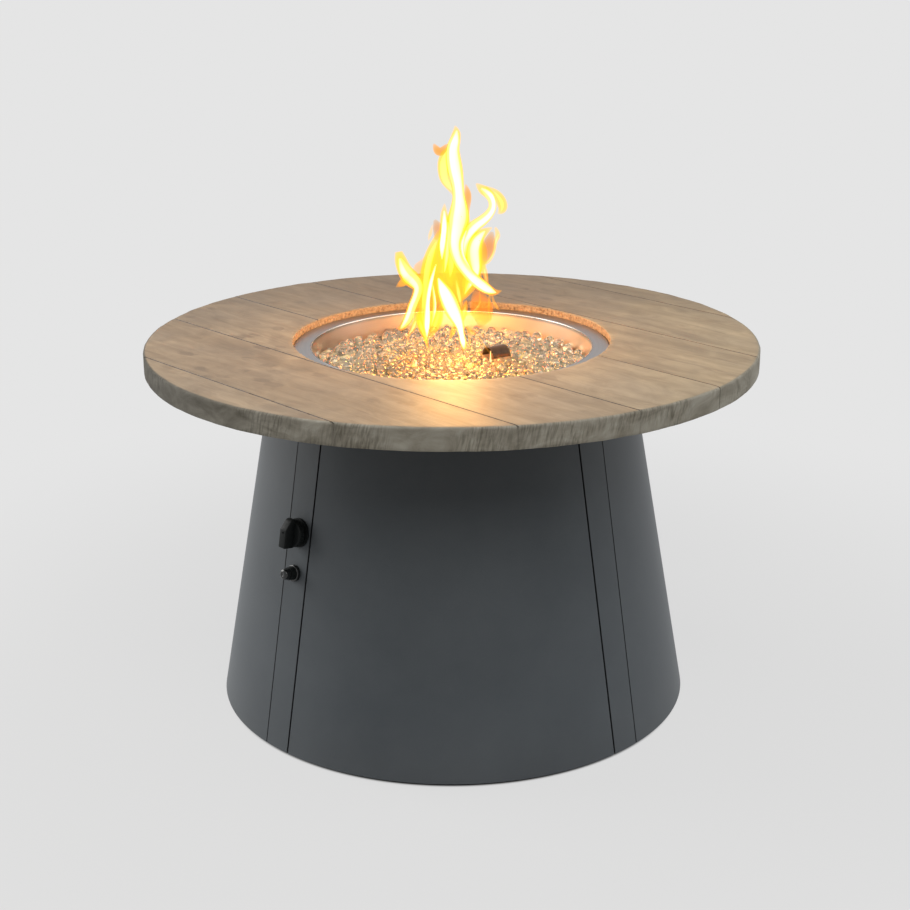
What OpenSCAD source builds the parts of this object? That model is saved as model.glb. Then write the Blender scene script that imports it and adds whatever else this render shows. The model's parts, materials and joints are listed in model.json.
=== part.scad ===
// Round gas fire pit table: a cast plank-look top on a tapered sheet steel base,
// with a drop-in burner pan, its gas train and the fuel cylinder inside the base.
// Millimetres, +Z up, the front door faces -Y, origin on the floor under the centre.

/* [Table top] */
// Diameter of the cast top
top_d = 1016; // [960:1:1080]
// Thickness of the cast top
top_t = 36; // [30:1:46]
// Height of the table surface above the floor
table_h = 624; // [606:1:680]
// Width of one moulded plank
plank_w = 178; // [120:1:200]
// Direction of the planks, counted from the left to right line
plank_angle = -47; // [-90:1:90]
// Width of the V groove between two planks
groove_w = 3; // [2:0.5:4]
// Depth of the V groove between two planks
groove_depth = 2.5; // [1.5:0.5:4]
// Radius on the upper outer edge of the top
top_edge_r = 4; // [2:0.5:8]

/* [Burner pan] */
// Diameter of the opening in the top
well_d = 528; // [500:1:540]
// Depth of the pan's flange below the table surface
well_depth = 12; // [8:0.5:15]
// Width of the pan's flange
flange_w = 28; // [22:1:34]
// Depth of the pan below its flange
pan_depth = 76; // [72:1:84]
// Sheet thickness of the pan
pan_t = 1.2; // [1:0.1:2]
// Inward taper of the pan wall, from flange to floor
pan_taper = 7; // [3:1:12]
// Radius between the pan's wall and floor
pan_corner_r = 14; // [8:1:18]
// Thickness of the heat gasket under the flange
gasket_t = 2; // [1:0.5:3]
// Radius of the outer burner tube ring
outer_ring_r = 150; // [120:1:170]
// Radius of the inner burner tube ring
inner_ring_r = 45; // [40:1:52]
// Outer radius of the burner tube
burner_tube_r = 8; // [6:0.5:9]
// Radius of one gas port
port_r = 1.3; // [1:0.1:2]
// Radius of one glass gem
gem_r = 9; // [7:0.5:9.5]
// Thickness of one glass gem
gem_t = 11; // [8:0.5:13]
// Depth of the tops of the gems below the table surface
gem_level = 36; // [33:1:38]

/* [Base] */
// Diameter of the base at its foot
base_bottom_d = 810; // [780:1:860]
// Diameter of the base under the top
base_top_d = 598; // [580:1:640]
// Gap between the skirt and the floor
skirt_gap = 6; // [4:0.5:8]
// Thickness of the base sheet
sheet_t = 1.5; // [1:0.1:2.5]
// Width of a corner post
post_w = 52; // [46:1:64]
// Depth of a post's return flanges
post_depth = 26; // [22:1:34]
// Depth of a panel's return flanges
panel_depth = 20; // [16:1:22]
// Gap between the door and its posts
door_gap = 3; // [2:0.5:5]
// Width of the shadow groove along a fixed seam
seam_w = 1.6; // [1:0.1:2.5]
// Thickness of the ring under the top
ring_t = 3; // [2:0.5:5]
// Width of the ring under the top
ring_w = 34; // [30:1:40]
// Thickness of the rubber pads between ring and top
pad_t = 2; // [1:0.5:4]
// Height of the base plate above the floor
plate_h = 12; // [10:0.5:16]
// Thickness of the base plate
plate_t = 2.5; // [2:0.5:5]
// Radius of a levelling foot's pad
foot_r = 20; // [15:1:25]

/* [Controls] */
// Height of the control knob above the floor
knob_h = 366; // [350:1:390]
// Height of the spark button above the floor
button_h = 300; // [280:1:310]
// Radius of the knob's skirt
knob_r = 22.5; // [20:0.5:24]
// How far the knob stands out from its post
knob_reach = 34; // [30:1:45]
// Width of the knob's grip
grip_w = 15; // [12:0.5:20]
// How far the knob pushes in
knob_travel = 4; // [3:0.5:5]
// Radius of the spark button
button_r = 8.7; // [7.8:0.1:8.9]
// How far the spark button travels
button_travel = 4.5; // [3:0.5:6]

/* [Fuel cylinder] */
// Radius of the cylinder
tank_r = 155; // [148:1:158]
// Height of the cylinder, to the top of its collar
tank_h = 455; // [445:1:458]
// Distance of the cylinder's axis behind the centre
tank_back = 140; // [132:1:150]
// Wall thickness of the cylinder
tank_t = 2.6; // [2:0.1:3.5]
// Radius of the cylinder's foot ring
tank_foot_r = 105; // [95:1:115]
// Radius of the cylinder's collar
tank_collar_r = 105; // [100:1:108]

/* [Hidden] */
$fn = 96;

// Running and seating clearances
touch = 0.3;
slip = 0.05;
loose = 0.2;
bolt_play = 0.25;
overcut = 1;

// Table top
top_r = top_d / 2;
top_z0 = table_h - top_t;
well_r = well_d / 2;
flange_z1 = table_h - well_depth;
flange_play = 2;
gasket_inset = 3;
flange_r = well_r - flange_play;
pan_rim_r = flange_r - flange_w;
ledge_z = flange_z1 - pan_t - gasket_t;
pan_play = 5;
ledge_r = pan_rim_r + pan_t + pan_play;
groove_lines = [for (k = [0 : ceil(top_r / plank_w)]) each
  (k + 0.5) * plank_w < top_r - groove_w ? [-(k + 0.5) * plank_w, (k + 0.5) * plank_w] : []];
notch_w = groove_w * 0.8;
notch_depth = groove_depth * 0.8;

// Base cone
base_bottom_r = base_bottom_d / 2;
base_top_r = base_top_d / 2;
base_slope = (base_bottom_r - base_top_r) / (top_z0 - skirt_gap);
cone_tilt = atan(base_slope);
skirt_top_gap = 1;
skirt_z1 = top_z0 - skirt_top_gap;
ring_z1 = top_z0 - pad_t;
ring_z0 = ring_z1 - ring_t;
plate_z1 = plate_h + plate_t;
plate_clear = 1;
plate_r = base_bottom_r - base_slope * (plate_z1 - skirt_gap) - sheet_t - plate_clear;
ring_out_r = base_bottom_r - base_slope * (ring_z1 - skirt_gap) - sheet_t - plate_clear;
ring_in_r = ring_out_r - ring_w;
ring_mid_r = (ring_out_r + ring_in_r) / 2;
post_step = 90;
post_azimuths = [-45, 45, 135, 225];
door_lift = 2;
seam_depth = sheet_t * 0.65;
far = top_d;

// Fasteners
screw_r = 2.5;
screw_head_r = 4.5;
screw_head_h = 3.5;
nut_af_r = 4.6;
nut_h = 4;
bolt_r = 3;
bolt_head_r = 5.8;
bolt_head_h = 4;
tab_t = 2;
tab_reach = 14;
top_bolt_r = 4;
top_bolt_head_r = 7.2;
top_bolt_grip = 20;
top_bolt_ring_r = ring_out_r - panel_depth - top_bolt_head_r;
magnet_r = 7;
magnet_t = door_gap - touch;
magnet_rise = 3 * magnet_r;
panel_screw_heights = [0.12, 0.5, 0.88];

// Feet
foot_pad_h = 6;
foot_stem_r = 4;
foot_stem_h = 26;
foot_hex_r = 9;
foot_nut_r = 9;
foot_nut_h = 8;
foot_inset = 70;
foot_ring_r = plate_r - foot_inset;

// Burner
pan_floor_z = flange_z1 - pan_depth;
pan_under_z = pan_floor_z - pan_t;
pan_floor_r = pan_rim_r - pan_taper;
hub_r = 17;
hub_h = 24;
spoke_r = 6;
burner_rise = 2;
burner_z = pan_floor_z + hub_h / 2 + burner_rise;
tube_wall = 1.5;
nipple_r = 10.5;
nipple_wall = 2.5;
nipple_h = 34;
locknut_r = 17;
locknut_h = 8;
mixer_r = 15;
mixer_h = 44;
mixer_hole_r = 5;
orifice_h = 22;
orifice_r = 10;
gem_z = table_h - gem_level - gem_t / 2;
gem_face_r = (gem_r * gem_r + gem_t * gem_t / 4) / gem_t;
gem_sides = 24;
fill_z1 = gem_z - gem_t / 2 - slip;
fill_z0 = pan_floor_z + hub_h + touch;
gem_count = 330;
gem_turn = 137.508;
gem_play = 1;
gem_field_r = pan_rim_r - pan_taper * gem_level / pan_depth - gem_r - gem_play;

// Igniter in the pan
hood_at = [75, 20];
hood_turn = 35;
hood_r = 17;
hood_len = 34;
hood_t = 1.2;
hood_rise = 4;
hood_z = gem_z + hood_rise;
hood_clear_r = norm([hood_len / 2, hood_r]) + gem_play;
bracket_t = 1.5;
electrode_r = 4;
electrode_h = 60;
electrode_tail = 16;
spark_pin_r = 1.2;
thermocouple_h = 46;
thermocouple_tip_r = 2.4;
electrode_at = hood_at + hood_offset([-8, 5]);
thermocouple_at = hood_at + hood_offset([8, -5]);

// Controls on the front left post
control_az = post_azimuths[0];
neck_r = 9;
bezel_r = 23.5;
bezel_z0 = 0.1;
bezel_z1 = 4;
neck_out = bezel_z1;
knob_play = 0.6;
knob_z0 = bezel_z1 + knob_travel + knob_play;
knob_skirt_h = 9;
stem_r = 4;
stem_z0 = -11;
stem_cover = 10;
stem_z1 = knob_reach - stem_cover;
seat_r = 7;
seat_t = 2;
valve_r = 17;
valve_front = -sheet_t - valve_r * valve_r / base_bottom_r - touch;
valve_len = 46;
valve_port_z = -34;
valve_port_r = 8;
valve_port_y = 30;
valve_inlet = 14;
valve_inlet_z = valve_front - valve_len - valve_inlet;
sensor_port_y = 12;
barrel_r = 10.5;
barrel_out = 14;
barrel_in = -58;
collar_r = 13.5;
collar_h = 6;
control_gap = 6;
knob_axis_h = max(knob_h, button_h + collar_r + bezel_r + control_gap);
battery_r = 7.2;
battery_len = 50;

// Gas lines
hose_r = 6;
hose_sides = 10;
hose_steps = 22;
lead_r = 1.6;
lead_sides = 8;
lead_steps = 17;
burner_hose_pull = 90;
supply_hose_pull = 120;
spark_lead_pull = 150;
sensor_lead_pull = 100;

// Fuel cylinder
tank_z0 = plate_z1;
tank_lift = 22;
tank_body_z0 = tank_z0 + tank_lift;
tank_head = 75;
tank_body_h = 300;
tank_body_z1 = tank_body_z0 + tank_body_h;
tank_neck_r = 14;
tank_top_z = tank_z0 + tank_h;
outlet_drop = 72;
outlet_z = tank_top_z - outlet_drop;
outlet_r = 12;
outlet_len = 34;
coupling_r = 24;
coupling_len = 36;
coupling_grip = 10;
coupling_flute_r = 4;
coupling_y = tank_back - outlet_len - coupling_len + coupling_grip;
inlet_r = 9;
regulator_r = 36;
regulator_h = 40;
regulator_play = 1;
regulator_y = coupling_y - regulator_r - regulator_play;
regulator_port = 20;
handwheel_r = 30;
handwheel_h = 12;
handwheel_drop = 26;
spindle_r = 5;
foot_ring_t = 3;
hoop_t = 2;
hoop_h = 28;

// An offset along and across the igniter hood, in the table's frame
function hood_offset(v) = [v[0] * cos(hood_turn) - v[1] * sin(hood_turn),
  v[0] * sin(hood_turn) + v[1] * cos(hood_turn)];

// Outer radius of the base skin at height z
function base_r(z) = base_bottom_r - base_slope * (z - skirt_gap);

// A point turned about the Z axis
function turn(p, a) = [p[0] * cos(a) - p[1] * sin(a), p[0] * sin(a) + p[1] * cos(a), p[2]];

// A direction or an offset given across, up and out of a post's face, in the table's frame
function post_vector(az, v) = turn([v[0],
  v[1] * sin(cone_tilt) - v[2] * cos(cone_tilt),
  v[1] * cos(cone_tilt) + v[2] * sin(cone_tilt)], az);

// A point on a post's face at height z, moved by an offset across, up and out
function post_point(az, z, v) = turn([0, -base_r(z), z], az) + post_vector(az, v);

function unit(v) = v / norm(v);

// A cubic curve between two ports, each a point and the direction that leaves it
function port_curve(a, b, pull) = [a[0], a[0] + pull * a[1], b[0] + pull * b[1], b[0]];
function curve_point(c, t) = pow(1 - t, 3) * c[0] + 3 * t * pow(1 - t, 2) * c[1]
  + 3 * t * t * (1 - t) * c[2] + pow(t, 3) * c[3];
function curve_slope(c, t) = unit(pow(1 - t, 2) * (c[1] - c[0]) + 2 * t * (1 - t) * (c[2] - c[1])
  + t * t * (c[3] - c[2]));

// Tube swept along a cubic curve, square to it at both ends; side is never along the curve
module swept_tube(c, r, sides, steps) {
  side = [1, -1, 0];
  points = [for (i = [0 : steps]) let (
      p = curve_point(c, i / steps),
      d = curve_slope(c, i / steps),
      u = unit(cross(d, side)),
      v = cross(d, u))
    for (k = [0 : sides - 1]) p + r * (cos(360 * k / sides) * u + sin(360 * k / sides) * v)];
  walls = [for (i = [0 : steps - 1]) for (k = [0 : sides - 1]) let (
      a = i * sides + k,
      b = i * sides + (k + 1) % sides)
    each [[a, a + sides, b], [b, a + sides, b + sides]]];
  first_cap = [for (k = [1 : sides - 2]) [0, k, k + 1]];
  last = steps * sides;
  last_cap = [for (k = [1 : sides - 2]) [last, last + k + 1, last + k]];
  polyhedron(points = points, faces = concat(walls, first_cap, last_cap));
}

// Places children on a post's face: X across, Y up the slope, Z straight out
module on_post(az, z) {
  rotate([0, 0, az])
    translate([0, -base_r(z), z])
      rotate([90 - cone_tilt, 0, 0])
        children();
}

// Flat outline in Y and Z, extruded along X from x0 by w
module side_sheet(x0, w, outline) {
  translate([x0, 0, 0])
    rotate([90, 0, 90])
      linear_extrude(w)
        polygon(outline);
}

module tube(r_out, r_in, h) {
  difference() {
    cylinder(r = r_out, h = h);
    translate([0, 0, -overcut])
      cylinder(r = r_in, h = h + 2 * overcut);
  }
}

// Solid inside the base skin, set in from it by inset
module base_cone(z0, z1, inset) {
  translate([0, 0, z0])
    cylinder(r1 = base_r(z0) - inset, r2 = base_r(z1) - inset, h = z1 - z0);
}

module base_skin(z0, z1) {
  difference() {
    base_cone(z0, z1, 0);
    base_cone(z0 - overcut, z1 + overcut, sheet_t);
  }
}

// Sheet that stands square to the skin and follows its slope, from x0 to x1 in a post's frame
module return_sheet(x0, x1, depth, z0, z1) {
  intersection() {
    base_cone(skirt_gap, skirt_z1, sheet_t / 2);
    side_sheet(x0, x1 - x0, [
      [-base_r(z0) - overcut, z0],
      [-base_r(z1) - overcut, z1],
      [-base_r(z1) + depth, z1],
      [-base_r(z0) + depth, z0]
    ]);
  }
}

// Flat ring inside the skin, depth wide, from z0 to z0 + sheet_t
module skin_flange(depth, z0) {
  difference() {
    base_cone(z0, z0 + sheet_t, sheet_t / 2);
    base_cone(z0 - overcut, z0 + sheet_t + overcut, depth);
  }
}

// Hole for a screw that runs along X through the seam of a post, at height z
module seam_hole(z, r) {
  translate([-far / 2, -base_r(z) + panel_depth / 2, z])
    rotate([0, 90, 0])
      cylinder(r = r, h = far);
}

function seam_height(share) = plate_z1 + (ring_z0 - plate_z1) * share;

// Radius where a post's end tabs take their bolts
function tab_bolt_r(z) = base_r(z) - post_depth;

module post_tab(z) {
  intersection() {
    base_cone(skirt_gap, skirt_z1, sheet_t / 2);
    difference() {
      translate([-post_w / 2, -base_r(z) - overcut, z])
        cube([post_w, post_depth + tab_reach + overcut, tab_t]);
      translate([0, -tab_bolt_r(z), z - overcut])
        cylinder(r = bolt_r + bolt_play, h = tab_t + 2 * overcut);
    }
  }
}

// Corner post: face strip, two return flanges and an end tab at each end
module post_blank() {
  edge = post_w / 2;
  difference() {
    intersection() {
      union() {
        base_skin(skirt_gap, skirt_z1);
        return_sheet(-edge - overcut, -edge + sheet_t, post_depth, plate_z1, ring_z0);
        return_sheet(edge - sheet_t, edge + overcut, post_depth, plate_z1, ring_z0);
        post_tab(plate_z1);
        post_tab(ring_z0 - tab_t);
      }
      translate([-edge, -far, 0])
        cube([post_w, far - base_top_r / 2, table_h]);
    }
    for (share = panel_screw_heights)
      seam_hole(seam_height(share), screw_r + bolt_play);
  }
}

module post(az) {
  color("#4a4e50")
    rotate([0, 0, az])
      post_blank();
}

// The front left post also carries the valve and the spark button
module control_post() {
  color("#4a4e50")
    difference() {
      rotate([0, 0, control_az])
        post_blank();
      on_post(control_az, knob_axis_h)
        translate([0, 0, valve_front])
          cylinder(r = neck_r + bolt_play, h = 2 * neck_out);
      on_post(control_az, button_h)
        translate([0, 0, valve_front])
          cylinder(r = barrel_r + bolt_play, h = 2 * neck_out);
    }
}

// Plan outline of the space between two posts, each set back by gap from its post
module between_posts(gap) {
  c = post_w / 2 + gap;
  apex = c / sin(post_step / 2);
  reach = [far * sin(post_step / 2), -far * cos(post_step / 2)];
  linear_extrude(table_h)
    polygon([
      [0, -apex],
      [reach[0], reach[1] - apex],
      [0, -2 * far],
      [-reach[0], reach[1] - apex]
    ]);
}

// Curved panel between two posts: skin, side returns, bottom flange and top flange
module panel_blank(gap, top_clear) {
  edge = post_w / 2 + gap;
  z1 = ring_z0 - top_clear;
  intersection() {
    union() {
      base_skin(skirt_gap, skirt_z1);
      skin_flange(panel_depth, plate_z1);
      skin_flange(panel_depth, z1 - sheet_t);
      rotate([0, 0, post_step / 2])
        return_sheet(-edge - sheet_t, -edge + overcut, panel_depth, plate_z1, z1);
      rotate([0, 0, -post_step / 2])
        return_sheet(edge - overcut, edge + sheet_t, panel_depth, plate_z1, z1);
    }
    between_posts(gap);
  }
}

// Shadow groove that the bend leaves along a seam
module seam_groove(side) {
  rotate([0, 0, side * post_step / 2])
    difference() {
      translate([side > 0 ? -post_w / 2 - seam_w : post_w / 2, -far, 0])
        cube([seam_w, far, table_h]);
      base_cone(skirt_gap - overcut, skirt_z1 + overcut, seam_depth);
    }
}

module fixed_panel(az) {
  color("#4a4e50")
    rotate([0, 0, az])
      difference() {
        panel_blank(0, 0);
        seam_groove(-1);
        seam_groove(1);
        for (side = [-1, 1])
          for (share = panel_screw_heights)
            rotate([0, 0, side * post_step / 2])
              intersection() {
                seam_hole(seam_height(share), screw_r + bolt_play);
                translate([-post_w, -far, 0])
                  cube([2 * post_w, far, table_h]);
              }
      }
}

module front_door() {
  color("#4a4e50")
    panel_blank(door_gap, door_lift);
}

// Screw and nut that close one seam, seen in the post's frame; side is where the panel lies
module seam_screw(side, z) {
  translate([side * post_w / 2, -base_r(z) + panel_depth / 2, z])
    rotate([0, side * 90, 0]) {
      translate([0, 0, sheet_t])
        cylinder(r = screw_head_r, h = screw_head_h);
      translate([0, 0, -sheet_t - nut_h])
        cylinder(r = screw_r, h = 2 * sheet_t + nut_h + screw_head_h / 2);
      translate([0, 0, -sheet_t - nut_h])
        cylinder(r = nut_af_r, h = nut_h, $fn = 6);
    }
}

module panel_screws() {
  color("silver")
    for (i = [0 : 3])
      rotate([0, 0, post_azimuths[i]])
        for (share = panel_screw_heights) {
          if (i != 1) seam_screw(-1, seam_height(share));
          if (i != 0) seam_screw(1, seam_height(share));
        }
}

module door_magnets() {
  color("dimgray")
    for (i = [0, 1])
      rotate([0, 0, post_azimuths[i]])
        for (share = panel_screw_heights) {
          z = seam_height(share) + magnet_rise;
          translate([(i == 0 ? 1 : -1) * post_w / 2, -base_r(z) + panel_depth / 2, z])
            rotate([0, (i == 0 ? 1 : -1) * 90, 0])
              cylinder(r = magnet_r, h = magnet_t);
        }
}

// Bolt with a round head below and a nut above, through grip millimetres, its head at z
module through_bolt(r, head_r, head_h, grip, nut_radius) {
  translate([0, 0, -head_h])
    cylinder(r = head_r, h = head_h);
  translate([0, 0, -head_h / 2])
    cylinder(r = r, h = grip + nut_h + head_h / 2);
  translate([0, 0, grip])
    cylinder(r = nut_radius, h = nut_h, $fn = 6);
}

module frame_bolts() {
  color("silver")
    for (az = post_azimuths)
      rotate([0, 0, az]) {
        translate([0, -tab_bolt_r(plate_z1), plate_h])
          through_bolt(bolt_r, bolt_head_r, bolt_head_h, plate_t + tab_t, bolt_head_r);
        translate([0, -tab_bolt_r(ring_z0 - tab_t), ring_z0 - tab_t])
          frame_stud();
      }
}

// Short bolt that holds a post's upper tab to the ring, flush with the ring's top
module frame_stud() {
  translate([0, 0, -bolt_head_h])
    cylinder(r = bolt_head_r, h = bolt_head_h);
  translate([0, 0, -bolt_head_h / 2])
    cylinder(r = bolt_r, h = bolt_head_h / 2 + tab_t + ring_t);
}

module top_ring() {
  color("dimgray")
    difference() {
      translate([0, 0, ring_z0])
        tube(ring_out_r, ring_in_r, ring_t);
      for (az = post_azimuths)
        rotate([0, 0, az])
          translate([0, -tab_bolt_r(ring_z0 - tab_t), ring_z0 - overcut])
            cylinder(r = bolt_r + bolt_play, h = ring_t + 2 * overcut);
      for (i = [0 : 3])
        rotate([0, 0, i * post_step])
          translate([0, -top_bolt_ring_r, ring_z0 - overcut])
            cylinder(r = top_bolt_r + bolt_play, h = ring_t + 2 * overcut);
    }
}

module top_bolts() {
  color("silver")
    for (i = [0 : 3])
      rotate([0, 0, i * post_step])
        translate([0, -top_bolt_ring_r, ring_z0]) {
          translate([0, 0, -bolt_head_h])
            cylinder(r = top_bolt_head_r, h = bolt_head_h, $fn = 6);
          translate([0, 0, -bolt_head_h / 2])
            cylinder(r = top_bolt_r, h = bolt_head_h / 2 + ring_t + pad_t + top_bolt_grip);
        }
}

module top_pads() {
  color("#202020")
    for (i = [0 : 7])
      rotate([0, 0, (i + 0.5) * post_step / 2])
        translate([0, -ring_mid_r, ring_z1])
          cylinder(r = ring_w * 0.28, h = pad_t);
}

module slab_profile() {
  difference() {
    translate([ledge_r, top_z0])
      square([top_r - ledge_r, top_t]);
    translate([0, ledge_z])
      square([well_r, top_t]);
    translate([top_r - top_edge_r, table_h - top_edge_r])
      difference() {
        square(top_edge_r + overcut);
        circle(r = top_edge_r);
      }
  }
}

// V groove across the top and down both ends of one plank joint
module plank_groove(offset) {
  half = sqrt(top_r * top_r - offset * offset);
  rotate([0, 0, plank_angle]) {
    translate([-top_r, offset, table_h])
      rotate([90, 0, 90])
        linear_extrude(top_d)
          polygon([[-groove_w, groove_depth], [groove_w, groove_depth], [0, -groove_depth]]);
    for (end = [-1, 1])
      translate([end * half, offset, top_z0 - overcut])
        rotate([0, 0, atan2(offset, end * half)])
          linear_extrude(top_t + 2 * overcut)
            polygon([[-notch_depth, 0], [notch_depth, notch_w], [notch_depth, -notch_w]]);
  }
}

module table_top() {
  color("#8d7f6c")
    difference() {
      rotate_extrude()
        slab_profile();
      for (line = groove_lines)
        plank_groove(line);
      for (i = [0 : 3])
        rotate([0, 0, i * post_step])
          translate([0, -top_bolt_ring_r, top_z0 - overcut])
            cylinder(r = top_bolt_r + bolt_play, h = top_bolt_grip + 2 * overcut);
    }
}

module base_plate() {
  color("dimgray")
    difference() {
      translate([0, 0, plate_h])
        cylinder(r = plate_r, h = plate_t);
      for (az = post_azimuths)
        rotate([0, 0, az]) {
          translate([0, -tab_bolt_r(plate_z1), plate_h - overcut])
            cylinder(r = bolt_r + bolt_play, h = plate_t + 2 * overcut);
          translate([0, -foot_ring_r, plate_h - overcut])
            cylinder(r = foot_stem_r + bolt_play, h = plate_t + 2 * overcut);
        }
      vent_holes();
    }
}

// Vents that let heavier-than-air gas fall out of the base
module vent_holes() {
  vent_r = 22;
  vent_ring_r = plate_r - 60;
  for (a = [-24, 0, 24])
    for (side = [0, 90, 270])
      rotate([0, 0, side + a])
        translate([0, -vent_ring_r, plate_h - overcut])
          cylinder(r = vent_r, h = plate_t + 2 * overcut);
}

module foot_nuts() {
  color("silver")
    for (az = post_azimuths)
      rotate([0, 0, az])
        translate([0, -foot_ring_r, plate_z1])
          difference() {
            cylinder(r = foot_nut_r, h = foot_nut_h, $fn = 6);
            translate([0, 0, -overcut])
              cylinder(r = foot_stem_r + loose, h = foot_nut_h + 2 * overcut);
          }
}

module levelling_foot(az) {
  color("#202020")
    rotate([0, 0, az])
      translate([0, -foot_ring_r, 0]) {
        cylinder(r1 = foot_r - 1, r2 = foot_r, h = foot_pad_h / 3);
        translate([0, 0, foot_pad_h / 3])
          cylinder(r = foot_r, h = foot_pad_h * 2 / 3);
        translate([0, 0, foot_pad_h / 2])
          cylinder(r = foot_hex_r, h = plate_h - foot_pad_h / 2, $fn = 6);
        translate([0, 0, foot_pad_h / 2])
          cylinder(r = foot_stem_r, h = plate_h + foot_stem_h - foot_pad_h / 2);
      }
}

// Half outline of the pan's inner or outer surface, from the rim down to the centre
function pan_line(skin) = let (
    rim = pan_rim_r + skin,
    floor_r = pan_floor_r + skin,
    floor_z = pan_floor_z - skin,
    corner = pan_corner_r + skin,
    lean = atan(pan_taper / pan_depth))
  concat([[rim, flange_z1 - skin]],
    [for (a = [lean : (90 - lean) / 8 : 90])
      [floor_r - corner + corner * cos(a) + pan_taper * corner / pan_depth * (1 - sin(a)),
        floor_z + corner - corner * sin(a)]],
    [[0, floor_z]]);

module burner_pan() {
  inner = pan_line(0);
  outer = pan_line(pan_t);
  rim = [[flange_r, flange_z1 - pan_t], [flange_r, flange_z1]];
  color("silver")
    difference() {
      rotate_extrude()
        polygon(concat(inner, [for (i = [len(outer) - 1 : -1 : 0]) outer[i]], rim));
      translate([0, 0, pan_under_z - overcut])
        cylinder(r = nipple_r + bolt_play, h = pan_t + 2 * overcut);
      for (at = [electrode_at, thermocouple_at])
        translate([at[0], at[1], pan_under_z - overcut])
          cylinder(r = electrode_r + bolt_play, h = pan_t + 2 * overcut);
    }
}

module pan_gasket() {
  color("white")
    translate([0, 0, ledge_z])
      tube(flange_r - gasket_inset, ledge_r + gasket_inset, gasket_t);
}

module burner_core(inset) {
  for (r = [inner_ring_r, outer_ring_r])
    translate([0, 0, burner_z])
      rotate_extrude()
        translate([r, 0])
          circle(r = burner_tube_r - inset);
  for (i = [0 : 3])
    rotate([0, 0, i * post_step + post_step / 2])
      translate([0, 0, burner_z])
        rotate([0, 90, 0])
          rotate([0, 0, post_step / 2])
            cylinder(r = spoke_r - inset, h = outer_ring_r);
}

module burner_ring() {
  color("lightgray")
    difference() {
      union() {
        burner_core(0);
        translate([0, 0, pan_floor_z])
          cylinder(r = hub_r, h = hub_h);
      }
      burner_core(tube_wall);
      translate([0, 0, pan_floor_z - overcut])
        cylinder(r = nipple_r + slip, h = hub_h / 2 + overcut);
      for (ring = [[inner_ring_r, 12], [outer_ring_r, 36]])
        for (i = [0 : ring[1] - 1])
          rotate([0, 0, (i + 0.5) * 360 / ring[1]])
            translate([ring[0], 0, burner_z])
              cylinder(r = port_r, h = 2 * burner_tube_r);
    }
}

module burner_nipple() {
  color("silver")
    translate([0, 0, pan_floor_z + hub_h / 2 - nipple_h])
      tube(nipple_r, nipple_r - nipple_wall, nipple_h);
}

module burner_locknut() {
  color("silver")
    translate([0, 0, pan_under_z - locknut_h])
      difference() {
        cylinder(r = locknut_r, h = locknut_h, $fn = 6);
        translate([0, 0, -overcut])
          cylinder(r = nipple_r + slip, h = locknut_h + 2 * overcut);
      }
}

mixer_z1 = pan_under_z - locknut_h;
mixer_z0 = mixer_z1 - mixer_h;

// Air mixer: a bored body with four air holes, screwed on the nipple
module air_mixer() {
  socket_z = pan_floor_z + hub_h / 2 - nipple_h;
  color("goldenrod")
    difference() {
      translate([0, 0, mixer_z0])
        cylinder(r = mixer_r, h = mixer_h);
      translate([0, 0, socket_z])
        cylinder(r = nipple_r + slip, h = mixer_h);
      translate([0, 0, mixer_z0 + 4])
        cylinder(r = nipple_r - nipple_wall, h = mixer_h);
      for (i = [0, 1])
        rotate([0, 0, i * post_step])
          translate([-2 * mixer_r, 0, mixer_z0 + 12])
            rotate([0, 90, 0])
              cylinder(r = mixer_hole_r, h = 4 * mixer_r);
    }
}

// Elbow with the gas orifice, under the mixer, its hose port towards the control post
module gas_orifice() {
  color("goldenrod")
    rotate([0, 0, control_az])
      translate([0, 0, mixer_z0 - orifice_h]) {
        cylinder(r = orifice_r, h = orifice_h);
        translate([0, 0, orifice_h / 2])
          rotate([90, 0, 0])
            cylinder(r = orifice_r * 0.8, h = 2 * orifice_r);
      }
}

orifice_port = [turn([0, -2 * orifice_r, mixer_z0 - orifice_h / 2], control_az),
  turn([0, -1, 0], control_az)];

// Buried gems, as one plain layer on the burner
module glass_fill() {
  color("#d8d2b4", 0.6)
    difference() {
      translate([0, 0, fill_z0])
        cylinder(r = gem_field_r + gem_r - 1, h = fill_z1 - fill_z0);
      translate([hood_at[0], hood_at[1], fill_z0 - overcut])
        cylinder(r = hood_clear_r, h = pan_depth);
    }
}

// One lens shaped gem, between two round faces, drawn coarsely because there are hundreds
module gem() {
  offset_z = gem_face_r - gem_t / 2;
  $fn = gem_sides;
  rotate_extrude()
    intersection() {
      square([gem_r, 2 * gem_t]);
      translate([0, gem_t - offset_z])
        circle(r = gem_face_r);
      translate([0, gem_t + offset_z])
        circle(r = gem_face_r);
    }
}

// Top layer of gems on a sunflower spiral, left out round the igniter hood
module glass_gems() {
  color("#e6dfc0", 0.6)
    for (i = [0 : gem_count - 1]) {
      r = gem_field_r * sqrt((i + 0.5) / gem_count);
      at = [r * cos(i * gem_turn), r * sin(i * gem_turn)];
      if (norm(at - hood_at) > hood_clear_r + gem_r)
        translate([at[0], at[1], gem_z - gem_t])
          gem();
    }
}

// Two cheeks on a foot plate, which the electrode and the thermocouple pass through
module igniter_bracket() {
  cheek_h = hood_z - pan_floor_z - touch;
  color("gray")
    difference() {
      translate([hood_at[0], hood_at[1], pan_floor_z])
        rotate([0, 0, hood_turn]) {
          translate([-hood_len / 2, -hood_r, 0])
            cube([hood_len, 2 * hood_r, bracket_t]);
          for (y = [-hood_r, hood_r - bracket_t])
            translate([-hood_len / 2, y, 0])
              cube([hood_len, bracket_t, cheek_h]);
        }
      for (at = [electrode_at, thermocouple_at])
        translate([at[0], at[1], pan_floor_z - overcut])
          cylinder(r = electrode_r + loose, h = bracket_t + 2 * overcut);
    }
}

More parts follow.
